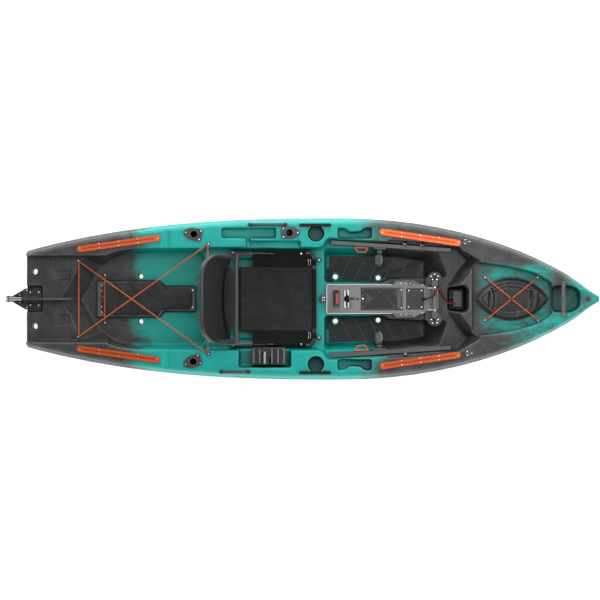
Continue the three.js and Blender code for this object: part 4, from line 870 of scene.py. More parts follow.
def tracks():
    screws = Shape()
    for end in ("rear", "front"):
        for label in SIDES:
            node = f"gear_track_{end}_{label}"
            soften(smooth(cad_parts[node], 30), 0.0012)
            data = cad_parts[node].data
            data.materials.clear()
            data.materials.append(ORANGE_METAL)
            verts = [v.co for v in data.vertices]
            aft = min(verts, key=lambda p: p.x)
            fore = max(verts, key=lambda p: p.x)
            along = (Vector(fore) - Vector(aft)).normalized()
            up = (Vector((0, 0, 1)) - along * along.z).normalized()
            across = up.cross(along).normalized()
            middle_line = (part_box(node)[0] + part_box(node)[1]) / 2
            length = (Vector(fore) - Vector(aft)).length
            surface = max((p - middle_line).dot(up) for p in map(Vector, verts))
            centre = middle_line + up * surface
            for share, pair in ((-0.465, False), (-0.23, True), (0.0, True), (0.23, True), (0.465, False)):
                for reach in ((-0.011, 0.011) if pair else (0.0,)):
                    screw(screws, centre + along * length * share + across * reach, up, 0.0034)
    place(smooth(screws.object("track_screws")), BRIGHT_STEEL, ROOT, "steel")


def cad(node, material, width=0.0010, angle=32):
    """Keeps a CAD piece, with a finished surface and softened edges."""
    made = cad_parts[node]
    smooth(made, 30)
    soften(made, width, angle=angle)
    made.data.materials.clear()
    made.data.materials.append(material)
    return made


tracks()

holder_screws, holder_rims = Shape(), Shape()
for node, (x, y, yaw) in HOLDERS.items():
    cad(node, BLACK_PLASTIC, 0.0012)
    turn = math.radians(yaw)
    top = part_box(node)[1].z
    for along, across in ((-0.046, 0.0), (0.034, 0.024), (0.034, -0.024)):
        at = Vector((x + along * math.cos(turn) - across * math.sin(turn),
                     y + along * math.sin(turn) + across * math.cos(turn), top))
        screw(holder_screws, at, (0, 0, 1), 0.0042)
    centre, down = holder_axis(x, y, yaw)
    rim = [(0.0198, 0.0), (0.0198, 0.0022), (0.0235, 0.0022), (0.0250, 0.0)]
    holder_rims.ring(rim, Vector((centre.x, centre.y, top - 0.0004)), (0, 0, 1), 32)
place(smooth(holder_screws.object("rod_holder_screws")), BRIGHT_STEEL, ROOT, "steel")
place(smooth(holder_rims.object("rod_holder_rims"), 50), BLACK_PLASTIC, ROOT, "black_plastic")

for node in ("side_handle_port", "side_handle_starboard"):
    cad(node, BLACK_PLASTIC, 0.0015)
for node in ("gunwale_bumper_port", "gunwale_bumper_starboard"):
    cad(node, RUBBER, 0.0015)


def bow_handle():
    """A ribbed grip between two posts."""
    low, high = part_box("bow_handle")
    x = (low.x + high.x) / 2
    radius = 0.011
    axis_z = high.z - radius
    shape = Shape()
    profile = [(0.004, -high.y), (radius * 0.9, -high.y + 0.0015)]
    ribs = 26
    for i in range(ribs + 1):
        y = -high.y + 0.008 + (2 * high.y - 0.016) * i / ribs
        profile += [(radius, y - 0.0018), (radius, y + 0.0010), (radius * 0.86, y + 0.0016)]
    profile += [(radius * 0.9, high.y - 0.0015), (0.004, high.y)]
    profile = [p for p in profile if abs(p[1]) <= high.y]
    shape.lathe(profile, (x, 0, axis_z), (0, 1, 0), 24)
    made = shape.object("bow_handle_grip")
    smooth(made, 50)
    posts = Shape()
    for side in (1, -1):
        y = side * 0.086
        posts.box((x - 0.013, y - 0.009, low.z), (x + 0.013, y + 0.009, low.z + 0.010), 0.002)
        posts.box((x - 0.008, y - 0.007, low.z + 0.008), (x + 0.008, y + 0.007, axis_z), 0.001)
    feet = posts.object("bow_handle_feet")
    soften(smooth(feet), 0.001)
    place(feet, BLACK_PLASTIC, ROOT, "black_plastic")
    return place(made, GREY_PLASTIC, ROOT, "grey_plastic", ["bow_handle"])


bow_handle()


def bow_fittings():
    """Drain plug, and the three-screw plates on the bow gunwale."""
    cad("drain_plug", BLACK_PLASTIC, 0.0006)
    centre = spot("drain_plug", up=1.0)
    detail = Shape()
    detail.ring([(0.0105, -0.003), (0.0105, 0.0), (0.0125, 0.0), (0.0135, -0.004)], centre, (0, 0, 1), 24)
    place(smooth(detail.object("drain_plug_collar"), 50), MOTTLED_PLASTIC, ROOT, "black_plastic")
    plates, screws = Shape(), Shape()
    for x, y in ((0.872, 0.319), (0.884, -0.305)):
        z = sheer(x)
        plates.prism(rounded_outline([(x - 0.024, y - 0.020), (x + 0.026, y), (x - 0.024, y + 0.020)],
                                     0.012), z - 0.004,
                     z + 0.003, 0.001)
        for dx, dy in ((-0.013, 0.011), (-0.013, -0.011), (0.012, 0.0)):
            screw(screws, (x + dx, y + dy, z + 0.003), (0, 0, 1), 0.004)
    place(smooth(plates.object("accessory_plates")), BLACK_PLASTIC, ROOT, "black_plastic")
    place(smooth(screws.object("accessory_plate_screws")), BRIGHT_STEEL, ROOT, "steel")


bow_fittings()


def paddle_clips():
    """Silver spring clips in the slots beside the front tracks."""
    shape = Shape()
    for x, y in ((0.525, 0.3085), (0.622, 0.302), (0.528, -0.3085)):
        shape.box((x - 0.009, y - 0.008, 0.296), (x + 0.009, y + 0.008, 0.300), 0.001)
        arch = [(x, y - 0.008, 0.300), (x, y - 0.009, 0.316), (x, y - 0.002, 0.327), (x, y + 0.006, 0.318),
                (x, y + 0.007, 0.303)]
        for shift in (-0.005, 0.0, 0.005):
            shape.tube([Vector(p) + Vector((shift, 0, 0)) for p in smooth_path(arch, 4)], 0.0026, 8)
    return place(smooth(shape.object("paddle_clips")), BRIGHT_STEEL, ROOT, "steel")


paddle_clips()


def stern_inserts():
    """Four threaded inserts on the port side."""
    shape = Shape()
    for x in (-1.569, -1.449):
        for y in (0.115, 0.210):
            shape.ring([(0.0024, -0.006), (0.0024, 0.0012), (0.0062, 0.0012), (0.0068, -0.006)],
                       (x, y, STERN_PLATFORM), (0, 0, 1), 20)
            shape.lathe([(0.0026, -0.006), (0.0026, -0.0045)], (x, y, STERN_PLATFORM), (0, 0, 1), 12)
    return place(smooth(shape.object("threaded_inserts"), 50), MOTTLED_PLASTIC, ROOT, "black_plastic")


stern_inserts()


def deck_knobs():
    """Round rubber stops ahead of the seat, and the plugs that fill the forward tank scuppers."""
    shape, screws, plugs_shape = Shape(), Shape(), Shape()
    for side in SIDES.values():
        at = Vector((0.044, side * 0.218, 0.2152))
        shape.lathe([(0.0135, 0), (0.0135, 0.004), (0.011, 0.009), (0.004, 0.010)], at, (0, 0, 1), 24)
        screw(screws, at + Vector((0, 0, 0.010)), (0, 0, 1), 0.0042)
        at = Vector((-0.628, side * 0.116, 0.1452))
        plugs_shape.lathe([(0.017, -0.003), (0.017, 0.003), (0.014, 0.0062), (0.010, 0.0065), (0.009, 0.004),
                           (0.0, 0.004)], at, (0, 0, 1), 28)
    place(smooth(shape.object("seat_stops")), BLACK_PLASTIC, ROOT, "black_plastic")
    place(smooth(screws.object("seat_stop_screws")), BRIGHT_STEEL, ROOT, "steel")
    place(smooth(plugs_shape.object("tank_plugs"), 50), GREY_PLASTIC, ROOT, "grey_plastic")


deck_knobs()


# ---------- tank well ----------

def battery_cover():
    """A crowned moulding with swept ribs over the battery."""
    low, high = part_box("battery_cover")
    base, top = low.z, high.z
    neck = low.x + 0.378
    narrow, wide = 0.076, 0.108
    corners = [(high.x, -narrow), (high.x, narrow), (neck, narrow), (neck - 0.02, wide), (low.x, wide),
               (low.x, -wide), (neck - 0.02, -wide), (neck, -narrow)]
    outline = rounded_outline(corners, 0.014)
    shape = Shape()
    levels = [(0.0, 0.0), (0.001, 0.006), (0.006, 0.021), (0.011, 0.0265)]
    shape.skin([[Vector((x, y, base + up)) for x, y in inset_outline(outline, inset)] for inset,
                up in levels])
    made = shape.object("battery_cover_shell")
    made.data.materials.clear()
    soften(smooth(made), 0.001)
    place(made, MOTTLED_PLASTIC, ROOT, "black_plastic", ["battery_cover"])

    # the crowned top panel, with ribs that sweep across it
    lid = Shape()
    rows, columns = 96, 40
    x0, x1 = low.x + 0.018, high.x - 0.016

    def half_width(x):
        t = max(0.0, min(1.0, (neck - 0.012 - x) / 0.022))
        return (narrow + (wide - narrow) * t) - 0.014

    def height(x, y):
        edge = half_width(x)
        crown = 0.0045 * (1 - (y / edge) ** 4)
        ends = min(1.0, (x - x0) / 0.02, (x1 - x) / 0.02)
        sweep = 0.0
        for centre, bow, width in ((low.x + 0.10, 0.075, 0.016), (low.x + 0.185, 0.10, 0.020),
                                   (low.x + 0.315, 0.12, 0.026)):
            line = centre + bow * (1 - (y / 0.11) ** 2) * 0.6
            sweep += 0.0032 * math.exp(-((x - line) / width) ** 4)
        return base + 0.0262 + (crown + sweep * 0.8) * max(0.0, ends) ** 0.5

    grid = [[lid.mesh.verts.new((x, y, min(height(x, y), top - 0.0004))) for y in
             [half_width(x) * (2 * j / columns - 1) for j in range(columns + 1)]]
            for x in [x0 + (x1 - x0) * i / rows for i in range(rows + 1)]]
    for a, b in zip(grid, grid[1:]):
        for j in range(columns):
            lid.mesh.faces.new((a[j], a[j + 1], b[j + 1], b[j]))
    panel = lid.object("battery_cover_panel")
    thick = panel.modifiers.new("thickness", "SOLIDIFY")
    thick.thickness = 0.003
    thick.offset = -1
    smooth(apply_modifiers(panel), 60)
    if sum(p.normal.z for p in panel.data.polygons) < 0:
        panel.data.flip_normals()
    place(panel, MOTTLED_PLASTIC, ROOT, "black_plastic")

    hardware, screws = Shape(), Shape()
    x = low.x + 0.028
    hardware.prism(rounded_outline(box_outline(low.x + 0.004, low.x + 0.050, -0.10, 0.10), 0.008),
                   base + 0.020,
                   base + 0.0285, 0.002)
    hardware.prism(rounded_outline(box_outline(high.x - 0.034, high.x - 0.004, -0.066, 0.066), 0.006),
                   base + 0.018,
                   base + 0.0285, 0.002)
    hardware.lathe([(0.017, 0), (0.017, 0.002), (0.013, 0.0032), (0.006, 0.0032)],
                   (x + 0.004, 0, base + 0.028),
                   (0, 0, 1), 24)
    for y in (-0.075, -0.045, 0.045, 0.075):
        screw(screws, (x, y, base + 0.0285), (0, 0, 1), 0.0036)
    for y in (-0.048, 0.048):
        screw(screws, (high.x - 0.018, y, base + 0.0285), (0, 0, 1), 0.005)
    place(smooth(hardware.object("battery_cover_latches")), BLACK_PLASTIC, ROOT, "black_plastic")
    place(smooth(screws.object("battery_cover_screws")), BRIGHT_STEEL, ROOT, "steel")


battery_cover()
cad("battery", CONSOLE_PLASTIC, 0.002)


# ---------- footwells ----------

def deck_pads():
    """Closed-cell pads with diagonal grooves that show a paler layer."""
    for label, side in SIDES.items():
        node = f"deck_pad_{label}"
        low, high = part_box(node)
        pad = bpy.data.objects.new(f"foot_pad_{label}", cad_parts[node].data.copy())
        bpy.context.scene.collection.objects.link(pad)
        weld = pad.modifiers.new("weld", "WELD")
        weld.merge_threshold = 0.00001
        apply_modifiers(pad)
        cutter, inlay = Shape(), Shape()
        lean, spacing = 0.085, 0.083
        for i in range(8):
            x = low.x - 0.02 + spacing * i
            near, far = 0.088, 0.258
            a = Vector((x, side * near))
            b = Vector((x + lean, side * far))
            across = Vector((b - a)).normalized()
            wide = Vector((-across.y, across.x)) * 0.0014
            corners = [tuple(a - wide), tuple(b - wide), tuple(b + wide), tuple(a + wide)]
            cutter.prism(corners, high.z - 0.0016, high.z + 0.01)
            inlay.prism(corners, high.z - 0.0030, high.z - 0.0013)
        boolean(pad, cutter.object("pad_cutter"), "DIFFERENCE")
        inlay_made = inlay.object(f"foot_pad_grooves_{label}")
        keep = bpy.data.objects.new("keep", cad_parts[node].data.copy())
        bpy.context.scene.collection.objects.link(keep)
        weld = keep.modifiers.new("weld", "WELD")
        weld.merge_threshold = 0.00001
        apply_modifiers(keep)
        boolean(inlay_made, keep, "INTERSECT")
        place(smooth(inlay_made), GROOVE, ROOT, "deck_foam")
        soften(smooth(pad), 0.0009)
        place(pad, FOAM, ROOT, "deck_foam", [node])


deck_pads()

for label, side in SIDES.items():
    cad(f"foot_rail_{label}", BLACK_METAL, 0.0012)
    cad(f"foot_carriage_{label}", BLACK_PLASTIC, 0.0012)


def pedals():
    """A curved foot plate with grip ribs on its face."""
    for label in SIDES:
        node = f"pedal_{label}"
        low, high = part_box(node)
        middle = (low.y + high.y) / 2
        half = (high.y - low.y) / 2
        pivot = Vector((PEDAL_X, middle, PEDAL_PIN_Z))
        lean = math.radians(14)
        tall = 0.063
        shape = Shape()
        place_on = Matrix.Translation(pivot + Vector((-0.003, 0, 0.004))) @ Matrix.Rotation(lean, 4, "Y")
        outline = rounded_outline([(-half, -tall), (half * 0.92, -tall), (half, tall * 0.5),
                                   (half * 0.62, tall),
                                   (-half * 0.62, tall), (-half, tall * 0.5)], 0.018)
        rings = []
        for depth, inset in ((0.0045, 0.0016), (0.0030, 0.0), (-0.0030, 0.0), (-0.0045, 0.0016)):
            rings.append([place_on @ Vector((depth - 0.0022 * (1 - (u / tall) ** 2), v, u))
                          for v, u in inset_outline(outline, inset)])
        shape.skin(rings)
        for i in range(-3, 4):
            u = i * 0.0150
            wide = half * 0.72
            bow = -0.0022 * (1 - (u / tall) ** 2)
            shape.tube([place_on @ Vector((-0.0042 + bow, -wide, u)),
                        place_on @ Vector((-0.0042 + bow, wide, u))],
                       0.0018, 8)
        shape.lathe([(0.0060, -half), (0.0115, -half), (0.0115, half), (0.0060, half)], pivot, (0, 1, 0), 24)
        made = shape.object(f"foot_pedal_{label}")
        smooth(made)
        place(made, GREY_PLASTIC, node, "grey_plastic", [node])


pedals()


def adjuster_loops():
    """Orange pull loops with rounded sides."""
    for label, side in SIDES.items():
        node = f"adjuster_loop_{label}"
        low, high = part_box(node)
        z = (low.z + high.z) / 2

        def beside(x, inboard):
            return (x, side * (RAIL_WALL + RAIL_SLOPE * (x - RAIL_AFT) - inboard), z)

        fore = PEDAL_X - 0.062
        corners = [beside(fore - 0.078, 0.030), beside(fore - 0.063, 0.056), beside(fore - 0.017, 0.056),
                   beside(fore - 0.004, 0.030)]
        path = []
        for i, corner in enumerate(corners):
            here, before, after = Vector(corner), Vector(corners[i - 1]), Vector(corners[(i + 1) % 4])
            start = here + (before - here).normalized() * 0.009
            end = here + (after - here).normalized() * 0.009
            for s in range(6):
                t = s / 5
                path.append(start * (1 - t) ** 2 + here * 2 * t * (1 - t) + end * t * t)
        made = Shape().tube(path, 0.0039, 12, closed=True, flat=(0.0039, 0.0038)).object(f"pull_loop_{label}")
        smooth(made, 80)
        place(made, ORANGE_PLASTIC, node, "orange_plastic", [node])


adjuster_loops()


# ---------- drive ----------

def drive():
    body = "drive_cassette"
    cad("console_housing", CONSOLE_PLASTIC, 0.0022)
    cad("console_lid", HATCH_PLASTIC, 0.0010)
    cad("electronics_cover", HATCH_PLASTIC, 0.0014)
    cad("hinge_axle", BRIGHT_STEEL, 0.0010)
    cad("release_trigger", RED_PLASTIC, 0.0025)
    cad("drive_leg", BLACK_METAL, 0.0020)
    cad("motor_pod", BLACK_METAL, 0.0010)
    cad("propeller_shaft", STEEL, 0.0008)
    cad("propeller", BLACK_PLASTIC, 0.0008)
    cad("propeller_nut", STEEL, 0.0008)
    screws, knobs, ridge, studs = Shape(), Shape(), Shape(), Shape()
    for x in (0.548, 0.620):
        for y in (-0.046, 0.046):
            screw(screws, (x, y, 0.2395), (0, 0, 1), 0.0046)
    lid_low, lid_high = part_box("console_lid")
    for y in (-0.050, -0.018, 0.018, 0.050):
        studs.lathe([(0.0065, 0), (0.0065, 0.003), (0.004, 0.0046), (0.001, 0.0046)],
                    (lid_low.x + 0.012, y, 0.2365), (0, 0, 1), 16)
    for y in (-0.050, 0.050):
        screw(screws, (lid_high.x - 0.008, y, 0.2366), (0, 0, 1), 0.0042)
    screw(screws, (lid_low.x + 0.012, 0.0, 0.2366), (0, 0, 1), 0.0062)
    # bright stiffening ridge between the two finger slots
    ridge.box((0.1665, -0.070, 0.2392), (0.1785, 0.070, 0.2425), 0.0015)
    ridge.box((0.2385, -0.004, 0.2318), (0.262, 0.004, 0.2350), 0.0010)
    for side in SIDES.values():
        at = Vector((0.556, side * 0.0845, 0.2395))
        knobs.lathe([(0.0095, -0.001), (0.0095, 0.004), (0.0075, 0.0062), (0.003, 0.0064)], at, (0, 0, 1), 20)
        screw(screws, at + Vector((0, 0, 0.0062)), (0, 0, 1), 0.0034)
        for x in (0.505, 0.532):
            screw(screws, (x, side * 0.0885, 0.2396), (0, 0, 1), 0.0030)
    place(smooth(screws.object("console_screws")), BRIGHT_STEEL, body, "steel")
    place(smooth(knobs.object("console_knobs")), BLACK_PLASTIC, body, "black_plastic")
    place(smooth(studs.object("lid_studs")), BLACK_PLASTIC, body, "black_plastic")
    place(smooth(ridge.object("console_ridge")), GREY_PLASTIC, body, "grey_plastic")


drive()


def hinge_hardware():
    screws, rings, collars = Shape(), Shape(), Shape()
    for label, side in SIDES.items():
        node = f"hinge_block_{label}"
        cad(node, BLACK_PLASTIC, 0.0012)
        low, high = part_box(node)
        centre = Vector(((low.x + high.x) / 2, side * 0.112, low.z + 0.009))
        for angle in range(0, 360, 72):
            turn = math.radians(angle + 20)
            at = centre + Vector((0.020 * math.cos(turn), 0.010 * side + 0.016 * math.sin(turn), 0))
            screw(screws, at, (0, 0, 1), 0.0048)
        rings.ring([(0.0335, -0.001), (0.0335, 0.0014), (0.0365, 0.0014), (0.0375, -0.001)], centre,
                   (0, 0, 1), 40)
        collars.lathe([(0.0075, 0), (0.0125, 0.0005), (0.0125, 0.0060), (0.0078, 0.0070)],
                      (AXLE.x, side * 0.0608, AXLE.z), (0, side, 0), 24)
    place(smooth(screws.object("hinge_screws")), BRIGHT_STEEL, ROOT, "steel")
    place(smooth(rings.object("hinge_rings"), 50), HATCH_PLASTIC, ROOT, "black_plastic")
    place(smooth(collars.object("axle_collars")), BRIGHT_STEEL, "drive_cassette", "steel")


hinge_hardware()

cad("console_latch", BLACK_PLASTIC, 0.0016)
latch_screws = Shape()
for across in (-0.0075, 0.0075):
    for along in (0.45, 0.68):
        at = spot("console_latch", along=along, up=1.0)
        screw(latch_screws, (at.x, across, at.z - 0.0003), (0, 0, 1), 0.0034)
place(smooth(latch_screws.object("latch_screws")), BRIGHT_STEEL, "console_latch", "steel")

cad("junction_block", BLACK_PLASTIC, 0.0020)
cad("control_box", BLACK_PLASTIC, 0.0016)
cad("speed_lever", BRIGHT_STEEL, 0.0014)

box_screws, box_ribs = Shape(), Shape()
low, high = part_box("control_box")
for x in (low.x + 0.012, high.x - 0.012):
    for y in (low.y + 0.012, high.y - 0.012):
        screw(box_screws, (x, y, low.z + 0.066), (0, 0, 1), 0.0042)
for i in range(6):
    x = low.x + 0.012 + 0.034 * i
    if abs(x - spot("speed_lever").x) > 0.026:
        box_ribs.box((x - 0.0022, low.y + 0.010, low.z + 0.0735),
                     (x + 0.0022, high.y - 0.012, low.z + 0.0755), 0.0008)
place(smooth(box_screws.object("control_box_screws")), BRIGHT_STEEL, ROOT, "steel")
place(smooth(box_ribs.object("control_box_wear_strips")), GREY_PLASTIC, ROOT, "grey_plastic")


CABLE_AFT = [
    (0.632, 0, 0.248), (0.641, 0.001, 0.257), (0.652, 0.004, 0.264), (0.668, 0.009, 0.269),
    (0.682, 0.014, 0.271),
    (0.690, 0.020, 0.271), (0.694, 0.028, 0.271), (0.694, 0.037, 0.271),
]
CABLE_FORE = [
    (0.694, 0.042, 0.271), (0.698, 0.048, 0.271), (0.708, 0.052, 0.267), (0.717, 0.051, 0.258),
    (0.724, 0.044, 0.247), (0.732, 0.032, 0.243), (0.742, 0.014, 0.242), (0.752, -0.004, 0.242),
    (0.764, -0.017, 0.242), (0.778, -0.023, 0.241), (0.792, -0.024, 0.233), (0.803, -0.024, 0.219),
    (0.808, -0.024, 0.206), (0.809, -0.024, 0.1975),
]


def power_cable():
    """A black and a red lead twisted loosely together, which run over the hinge."""
    path = smooth_path([Vector(p) for p in CABLE_AFT + CABLE_FORE], 5)
    leads = {"power_lead_black": (0.0030, 0.0, RUBBER), "power_lead_red": (0.0026, math.pi, RED_WIRE)}
    for name, (radius, phase, material) in leads.items():
        line = []
        run = 0.0
        for i, here in enumerate(path):
            if i:
                run += (here - path[i - 1]).length
            along = (path[min(i + 1, len(path) - 1)] - path[max(i - 1, 0)]).normalized()
            side = along.cross(Vector((0, 0, 1)))
            side = side.normalized() if side.length > 0.2 else Vector((0, 1, 0))
            other = side.cross(along)
            turn = phase + run / 0.075 * 2 * math.pi * 0.5
            line.append(here + (side * math.cos(turn) + other * math.sin(turn)) * 0.0031)
        made = Shape().tube(line, radius, 10).object(name)
        smooth(made, 80)
        made.data.materials.clear()
        made.data.materials.append(material)
        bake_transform(made)
        if name.endswith("black"):
            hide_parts("power_cable_aft", "power_cable_fore")
    strain = Shape().lathe([(0.011, -0.004), (0.011, 0.002), (0.0085, 0.008), (0.0070, 0.013),
                            (0.0062, 0.013)],
                           (0.630, 0, 0.2425), (0.5, 0.0, 1), 24)
    place(smooth(strain.object("cable_gland"), 50), RUBBER, "drive_cassette", "rubber")


power_cable()


# ---------- rudder ----------

for node, material, width in (("rudder_bracket", BLACK_METAL, 0.0016), ("rudder_pin", STEEL, 0.0010),
                              ("rudder_head", MOTTLED_PLASTIC, 0.0016), ("rudder_blade_pin", STEEL, 0.0008),
                              ("rudder_blade", BLACK_PLASTIC, 0.0024)):
    cad(node, material, width)

rudder_screws = Shape()
head_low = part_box("rudder_head")[0]
for side in SIDES.values():
    screw(rudder_screws, (-1.600, side * 0.048, head_low.z + 0.009), (0, 0, 1), 0.0048)
    screw(rudder_screws, (-1.640, side * 0.022, head_low.z + 0.009), (0, 0, 1), 0.0040)
place(smooth(rudder_screws.object("rudder_screws")), BRIGHT_STEEL, "rudder_head", "steel")
bracket_screws = Shape()
for x in (-1.582, -1.536):
    for side in SIDES.values():
        screw(bracket_screws, (x, side * 0.036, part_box("rudder_bracket")[0].z + 0.008), (0, 0, 1), 0.0052)
place(smooth(bracket_screws.object("rudder_bracket_bolts")), BRIGHT_STEEL, ROOT, "steel")


# ---------- bow hatch ----------

def hatch():
    """A stepped lid with two hand grips, on a rubber seal."""
    low, high = HATCH_LOW, HATCH_HIGH
    base = BOW_DECK + 0.0004
    shape = Shape()
    steps = [
        (0.0, 0.0), (0.0, 0.0075), (0.0022, 0.0100), (0.0070, 0.0106), (0.0100, 0.0128), (0.0150, 0.0172),
        (0.0200, 0.0206), (0.0270, 0.0212), (0.0290, 0.0192), (0.0330, 0.0186), (0.0352, 0.0210),
        (0.0480, 0.0216),
        (0.0500, 0.0196), (0.0545, 0.0190), (0.0570, 0.0216), (0.0700, 0.0226), (0.0860, 0.0233),
        (0.1050, 0.0236),
    ]
    rings = []
    for inset, up in steps:
        ring = lens_outline(low.x + inset * 1.25, high.x - inset * 1.25, max(0.0015, high.y - inset), 40)
        rings.append([Vector((x, y, base + up)) for x, y in ring])
    shape.skin(rings)
    lid = shape.object("hatch_lid")
    cut = Shape()
    middle = (low.x + high.x) / 2
    for centre, wide in ((middle - 0.114, 0.020), (middle + 0.126, 0.030)):
        ring_count = 28
        rows = []
        for depth, share in ((0.02, 1.12), (-0.004, 1.0), (-0.011, 0.72)):
            rows.append([Vector((centre + wide * share * math.cos(a), 0.062 * share * math.sin(a),
                                 base + 0.0225 + depth))
                         for a in (2 * math.pi * i / ring_count for i in range(ring_count))])
        cut.skin(rows)
    boolean(lid, cut.object("grip_cutter"), "DIFFERENCE")
    soften(smooth(lid, 34), 0.0012)
    place(lid, HATCH_PLASTIC, "hatch", "black_plastic", ["hatch_cover"])

    grips = Shape()
    for centre, bow in ((middle - 0.114, 0.012), (middle + 0.126, 0.014)):
        path = [(centre + bow * (1 - (y / 0.055) ** 2) - bow * 0.6, y,
                 base + 0.0195 + 0.0025 * (1 - (y / 0.055) ** 2))
                for y in [0.055 * (i / 6 - 1) for i in range(13)]]
        grips.tube(smooth_path(path, 3), 0.006, 12, flat=(0.0065, 0.0028))
    place(smooth(grips.object("hatch_grips"), 60), HATCH_PLASTIC, "hatch", "black_plastic")

    seal = Shape()
    outer = lens_outline(low.x + 0.010, high.x - 0.010, high.y - 0.008, 40)
    seal.tube([Vector((x, y, base + 0.0012)) for x, y in outer], 0.0028, 10, closed=True)
    place(smooth(seal.object("hatch_seal"), 70), RUBBER, "hatch", "rubber")


hatch()


def hatch_cords():
    """Four arms of one shock cord, each from its deck eye to the bead over the lid."""
    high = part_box("hatch_bungee")[1]
    top = high.z - 0.0052
    centre = Vector(((HATCH_EYE_AFT.x + HATCH_EYE_FORE.x) / 2, 0, top))
    replaced = False
    for end, eye in (("aft", HATCH_EYE_AFT), ("fore", HATCH_EYE_FORE)):
        for label, side in SIDES.items():
            start = flip(eye, side)
            shoulder = Vector((start.x + 0.14 * (centre.x - start.x), start.y * 0.86, top))
            bow = (centre - start).normalized() * 0.006
            path = smooth_path([start,
                                start + Vector((0.10 * (centre.x - start.x), -0.05 * start.y, 0.010)),
                                shoulder,
                                shoulder.lerp(centre, 0.5), centre - bow], 8)
            made = Shape().tube(path, 0.0035, 12).object(f"hatch_cord_{end}_{label}")
            smooth(made, 80)
            made.data.materials.clear()
            made.data.materials.append(CORD)
            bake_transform(made)
            if not replaced:
                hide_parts("hatch_bungee")
                replaced = True
    knot = Shape()
    knot.ring([(0.0045, -0.0045), (0.0085, -0.0060), (0.0105, 0), (0.0085, 0.0060), (0.0045, 0.0045)],
              centre, (0, 0, 1), 24)
    place(smooth(knot.object("hatch_cord_bead"), 70), MOTTLED_PLASTIC, "hatch", "black_plastic")


hatch_cords()


# ---------- seat ----------

TUBE = 0.0125
SEAT_HALF = 0.255
SEAT_AFT, SEAT_FORE = -0.452, 0.014
SEAT_Z = 0.233
PIVOT = Vector((-0.440, 0, 0.276))
LEAN = math.radians(21)
BACK_HALF = 0.236
BACK_LENGTH = 0.448


def on_back(up, side, front):
    """A point of the seat back, by its height up the back, its side and its distance in front."""
    return Vector((PIVOT.x - up * math.sin(LEAN) + front * math.cos(LEAN), side,
                   PIVOT.z + up * math.cos(LEAN) + front * math.sin(LEAN)))


def seat_base():
    half = SEAT_HALF
    loop = rounded_path([(SEAT_AFT, half, SEAT_Z), (SEAT_FORE, half, SEAT_Z), (SEAT_FORE, -half, SEAT_Z),
                         (SEAT_AFT, -half, SEAT_Z)], 0.040, 8)
    shape = Shape().tube(loop, TUBE, 24)
    shape.tube([(SEAT_AFT + 0.032, -half, SEAT_Z), (SEAT_AFT + 0.032, half, SEAT_Z)], TUBE, 24)
    place(smooth(shape.object("seat_tubes"), 60), BLACK_METAL, ROOT, "black_metal", ["seat_frame"])
    fittings, bolts = Shape(), Shape()
    foot_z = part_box("seat_frame")[0].z
    for side in SIDES.values():
        y = side * half
        for x in (SEAT_AFT + 0.050, SEAT_FORE - 0.070):
            fittings.box((x - 0.018, y - 0.010, foot_z), (x + 0.018, y + 0.010, SEAT_Z), 0.003)
        for x in (SEAT_AFT + 0.012, SEAT_FORE - 0.030):
            fittings.tube([(x - 0.014, y, SEAT_Z), (x + 0.014, y, SEAT_Z)], TUBE + 0.0024, 20)
        ear = rounded_outline([(PIVOT.x - 0.016, SEAT_Z), (PIVOT.x + 0.016, SEAT_Z),
                               (PIVOT.x + 0.016, PIVOT.z + 0.015),
                               (PIVOT.x - 0.016, PIVOT.z + 0.015)], 0.010)
        fittings.skin([[Vector((x, y + shift, z)) for x, z in ear] for shift in (-0.004, 0.004)])
        bolts.lathe([(0.0100, 0), (0.0100, 0.004), (0.006, 0.0075), (0.002, 0.0075)],
                    (PIVOT.x, side * (half + 0.0042), PIVOT.z), (0, side, 0), 20)
        # round clamp knobs on the hinge line
        bolts.lathe([(0.0055, 0), (0.0055, 0.003), (0.0040, 0.0042), (0.001, 0.0042)],
                    (SEAT_FORE - 0.070, side * (half), SEAT_Z + TUBE + 0.0004), (0, 0, 1), 16)
    fitted = fittings.object("seat_fittings")
    soften(smooth(fitted), 0.0012)
    place(fitted, BLACK_PLASTIC, ROOT, "black_plastic")
    place(smooth(bolts.object("seat_bolts")), STEEL, ROOT, "steel")


seat_base()


def seat_back_frame():
    arch = rounded_path([on_back(-0.008, BACK_HALF, 0), on_back(0.300, BACK_HALF, 0),
                         on_back(BACK_LENGTH, 0.178, 0),
                         on_back(BACK_LENGTH, -0.178, 0), on_back(0.300, -BACK_HALF, 0),
                         on_back(-0.008, -BACK_HALF, 0)], 0.070, 8)
    shape = Shape().tube(arch, TUBE, 24)
    for side in SIDES.values():
        shape.tube([(PIVOT.x, side * BACK_HALF, PIVOT.z), (PIVOT.x, side * (SEAT_HALF + 0.008), PIVOT.z)],
                   0.0058, 16)
    place(smooth(shape.object("back_tubes"), 60), BLACK_METAL, "seat_back", "black_metal", ["back_frame"])


seat_back_frame()


def sheet_grid(name, rows, columns, point, thickness):
    """A thin panel from a function of two shares, 0 to 1."""
    shape = Shape()
    grid = [[shape.mesh.verts.new(point(i / rows,
                                        j / columns)) for j in range(columns + 1)] for i in range(rows + 1)]
    for a, b in zip(grid, grid[1:]):
        for j in range(columns):
            shape.mesh.faces.new((a[j], a[j + 1], b[j + 1], b[j]))
    made = shape.object(name)
    thick = made.modifiers.new("thickness", "SOLIDIFY")
    thick.thickness = thickness
    thick.offset = 0
    thick.use_rim = True
    apply_modifiers(made)
    return smooth(made, 60)


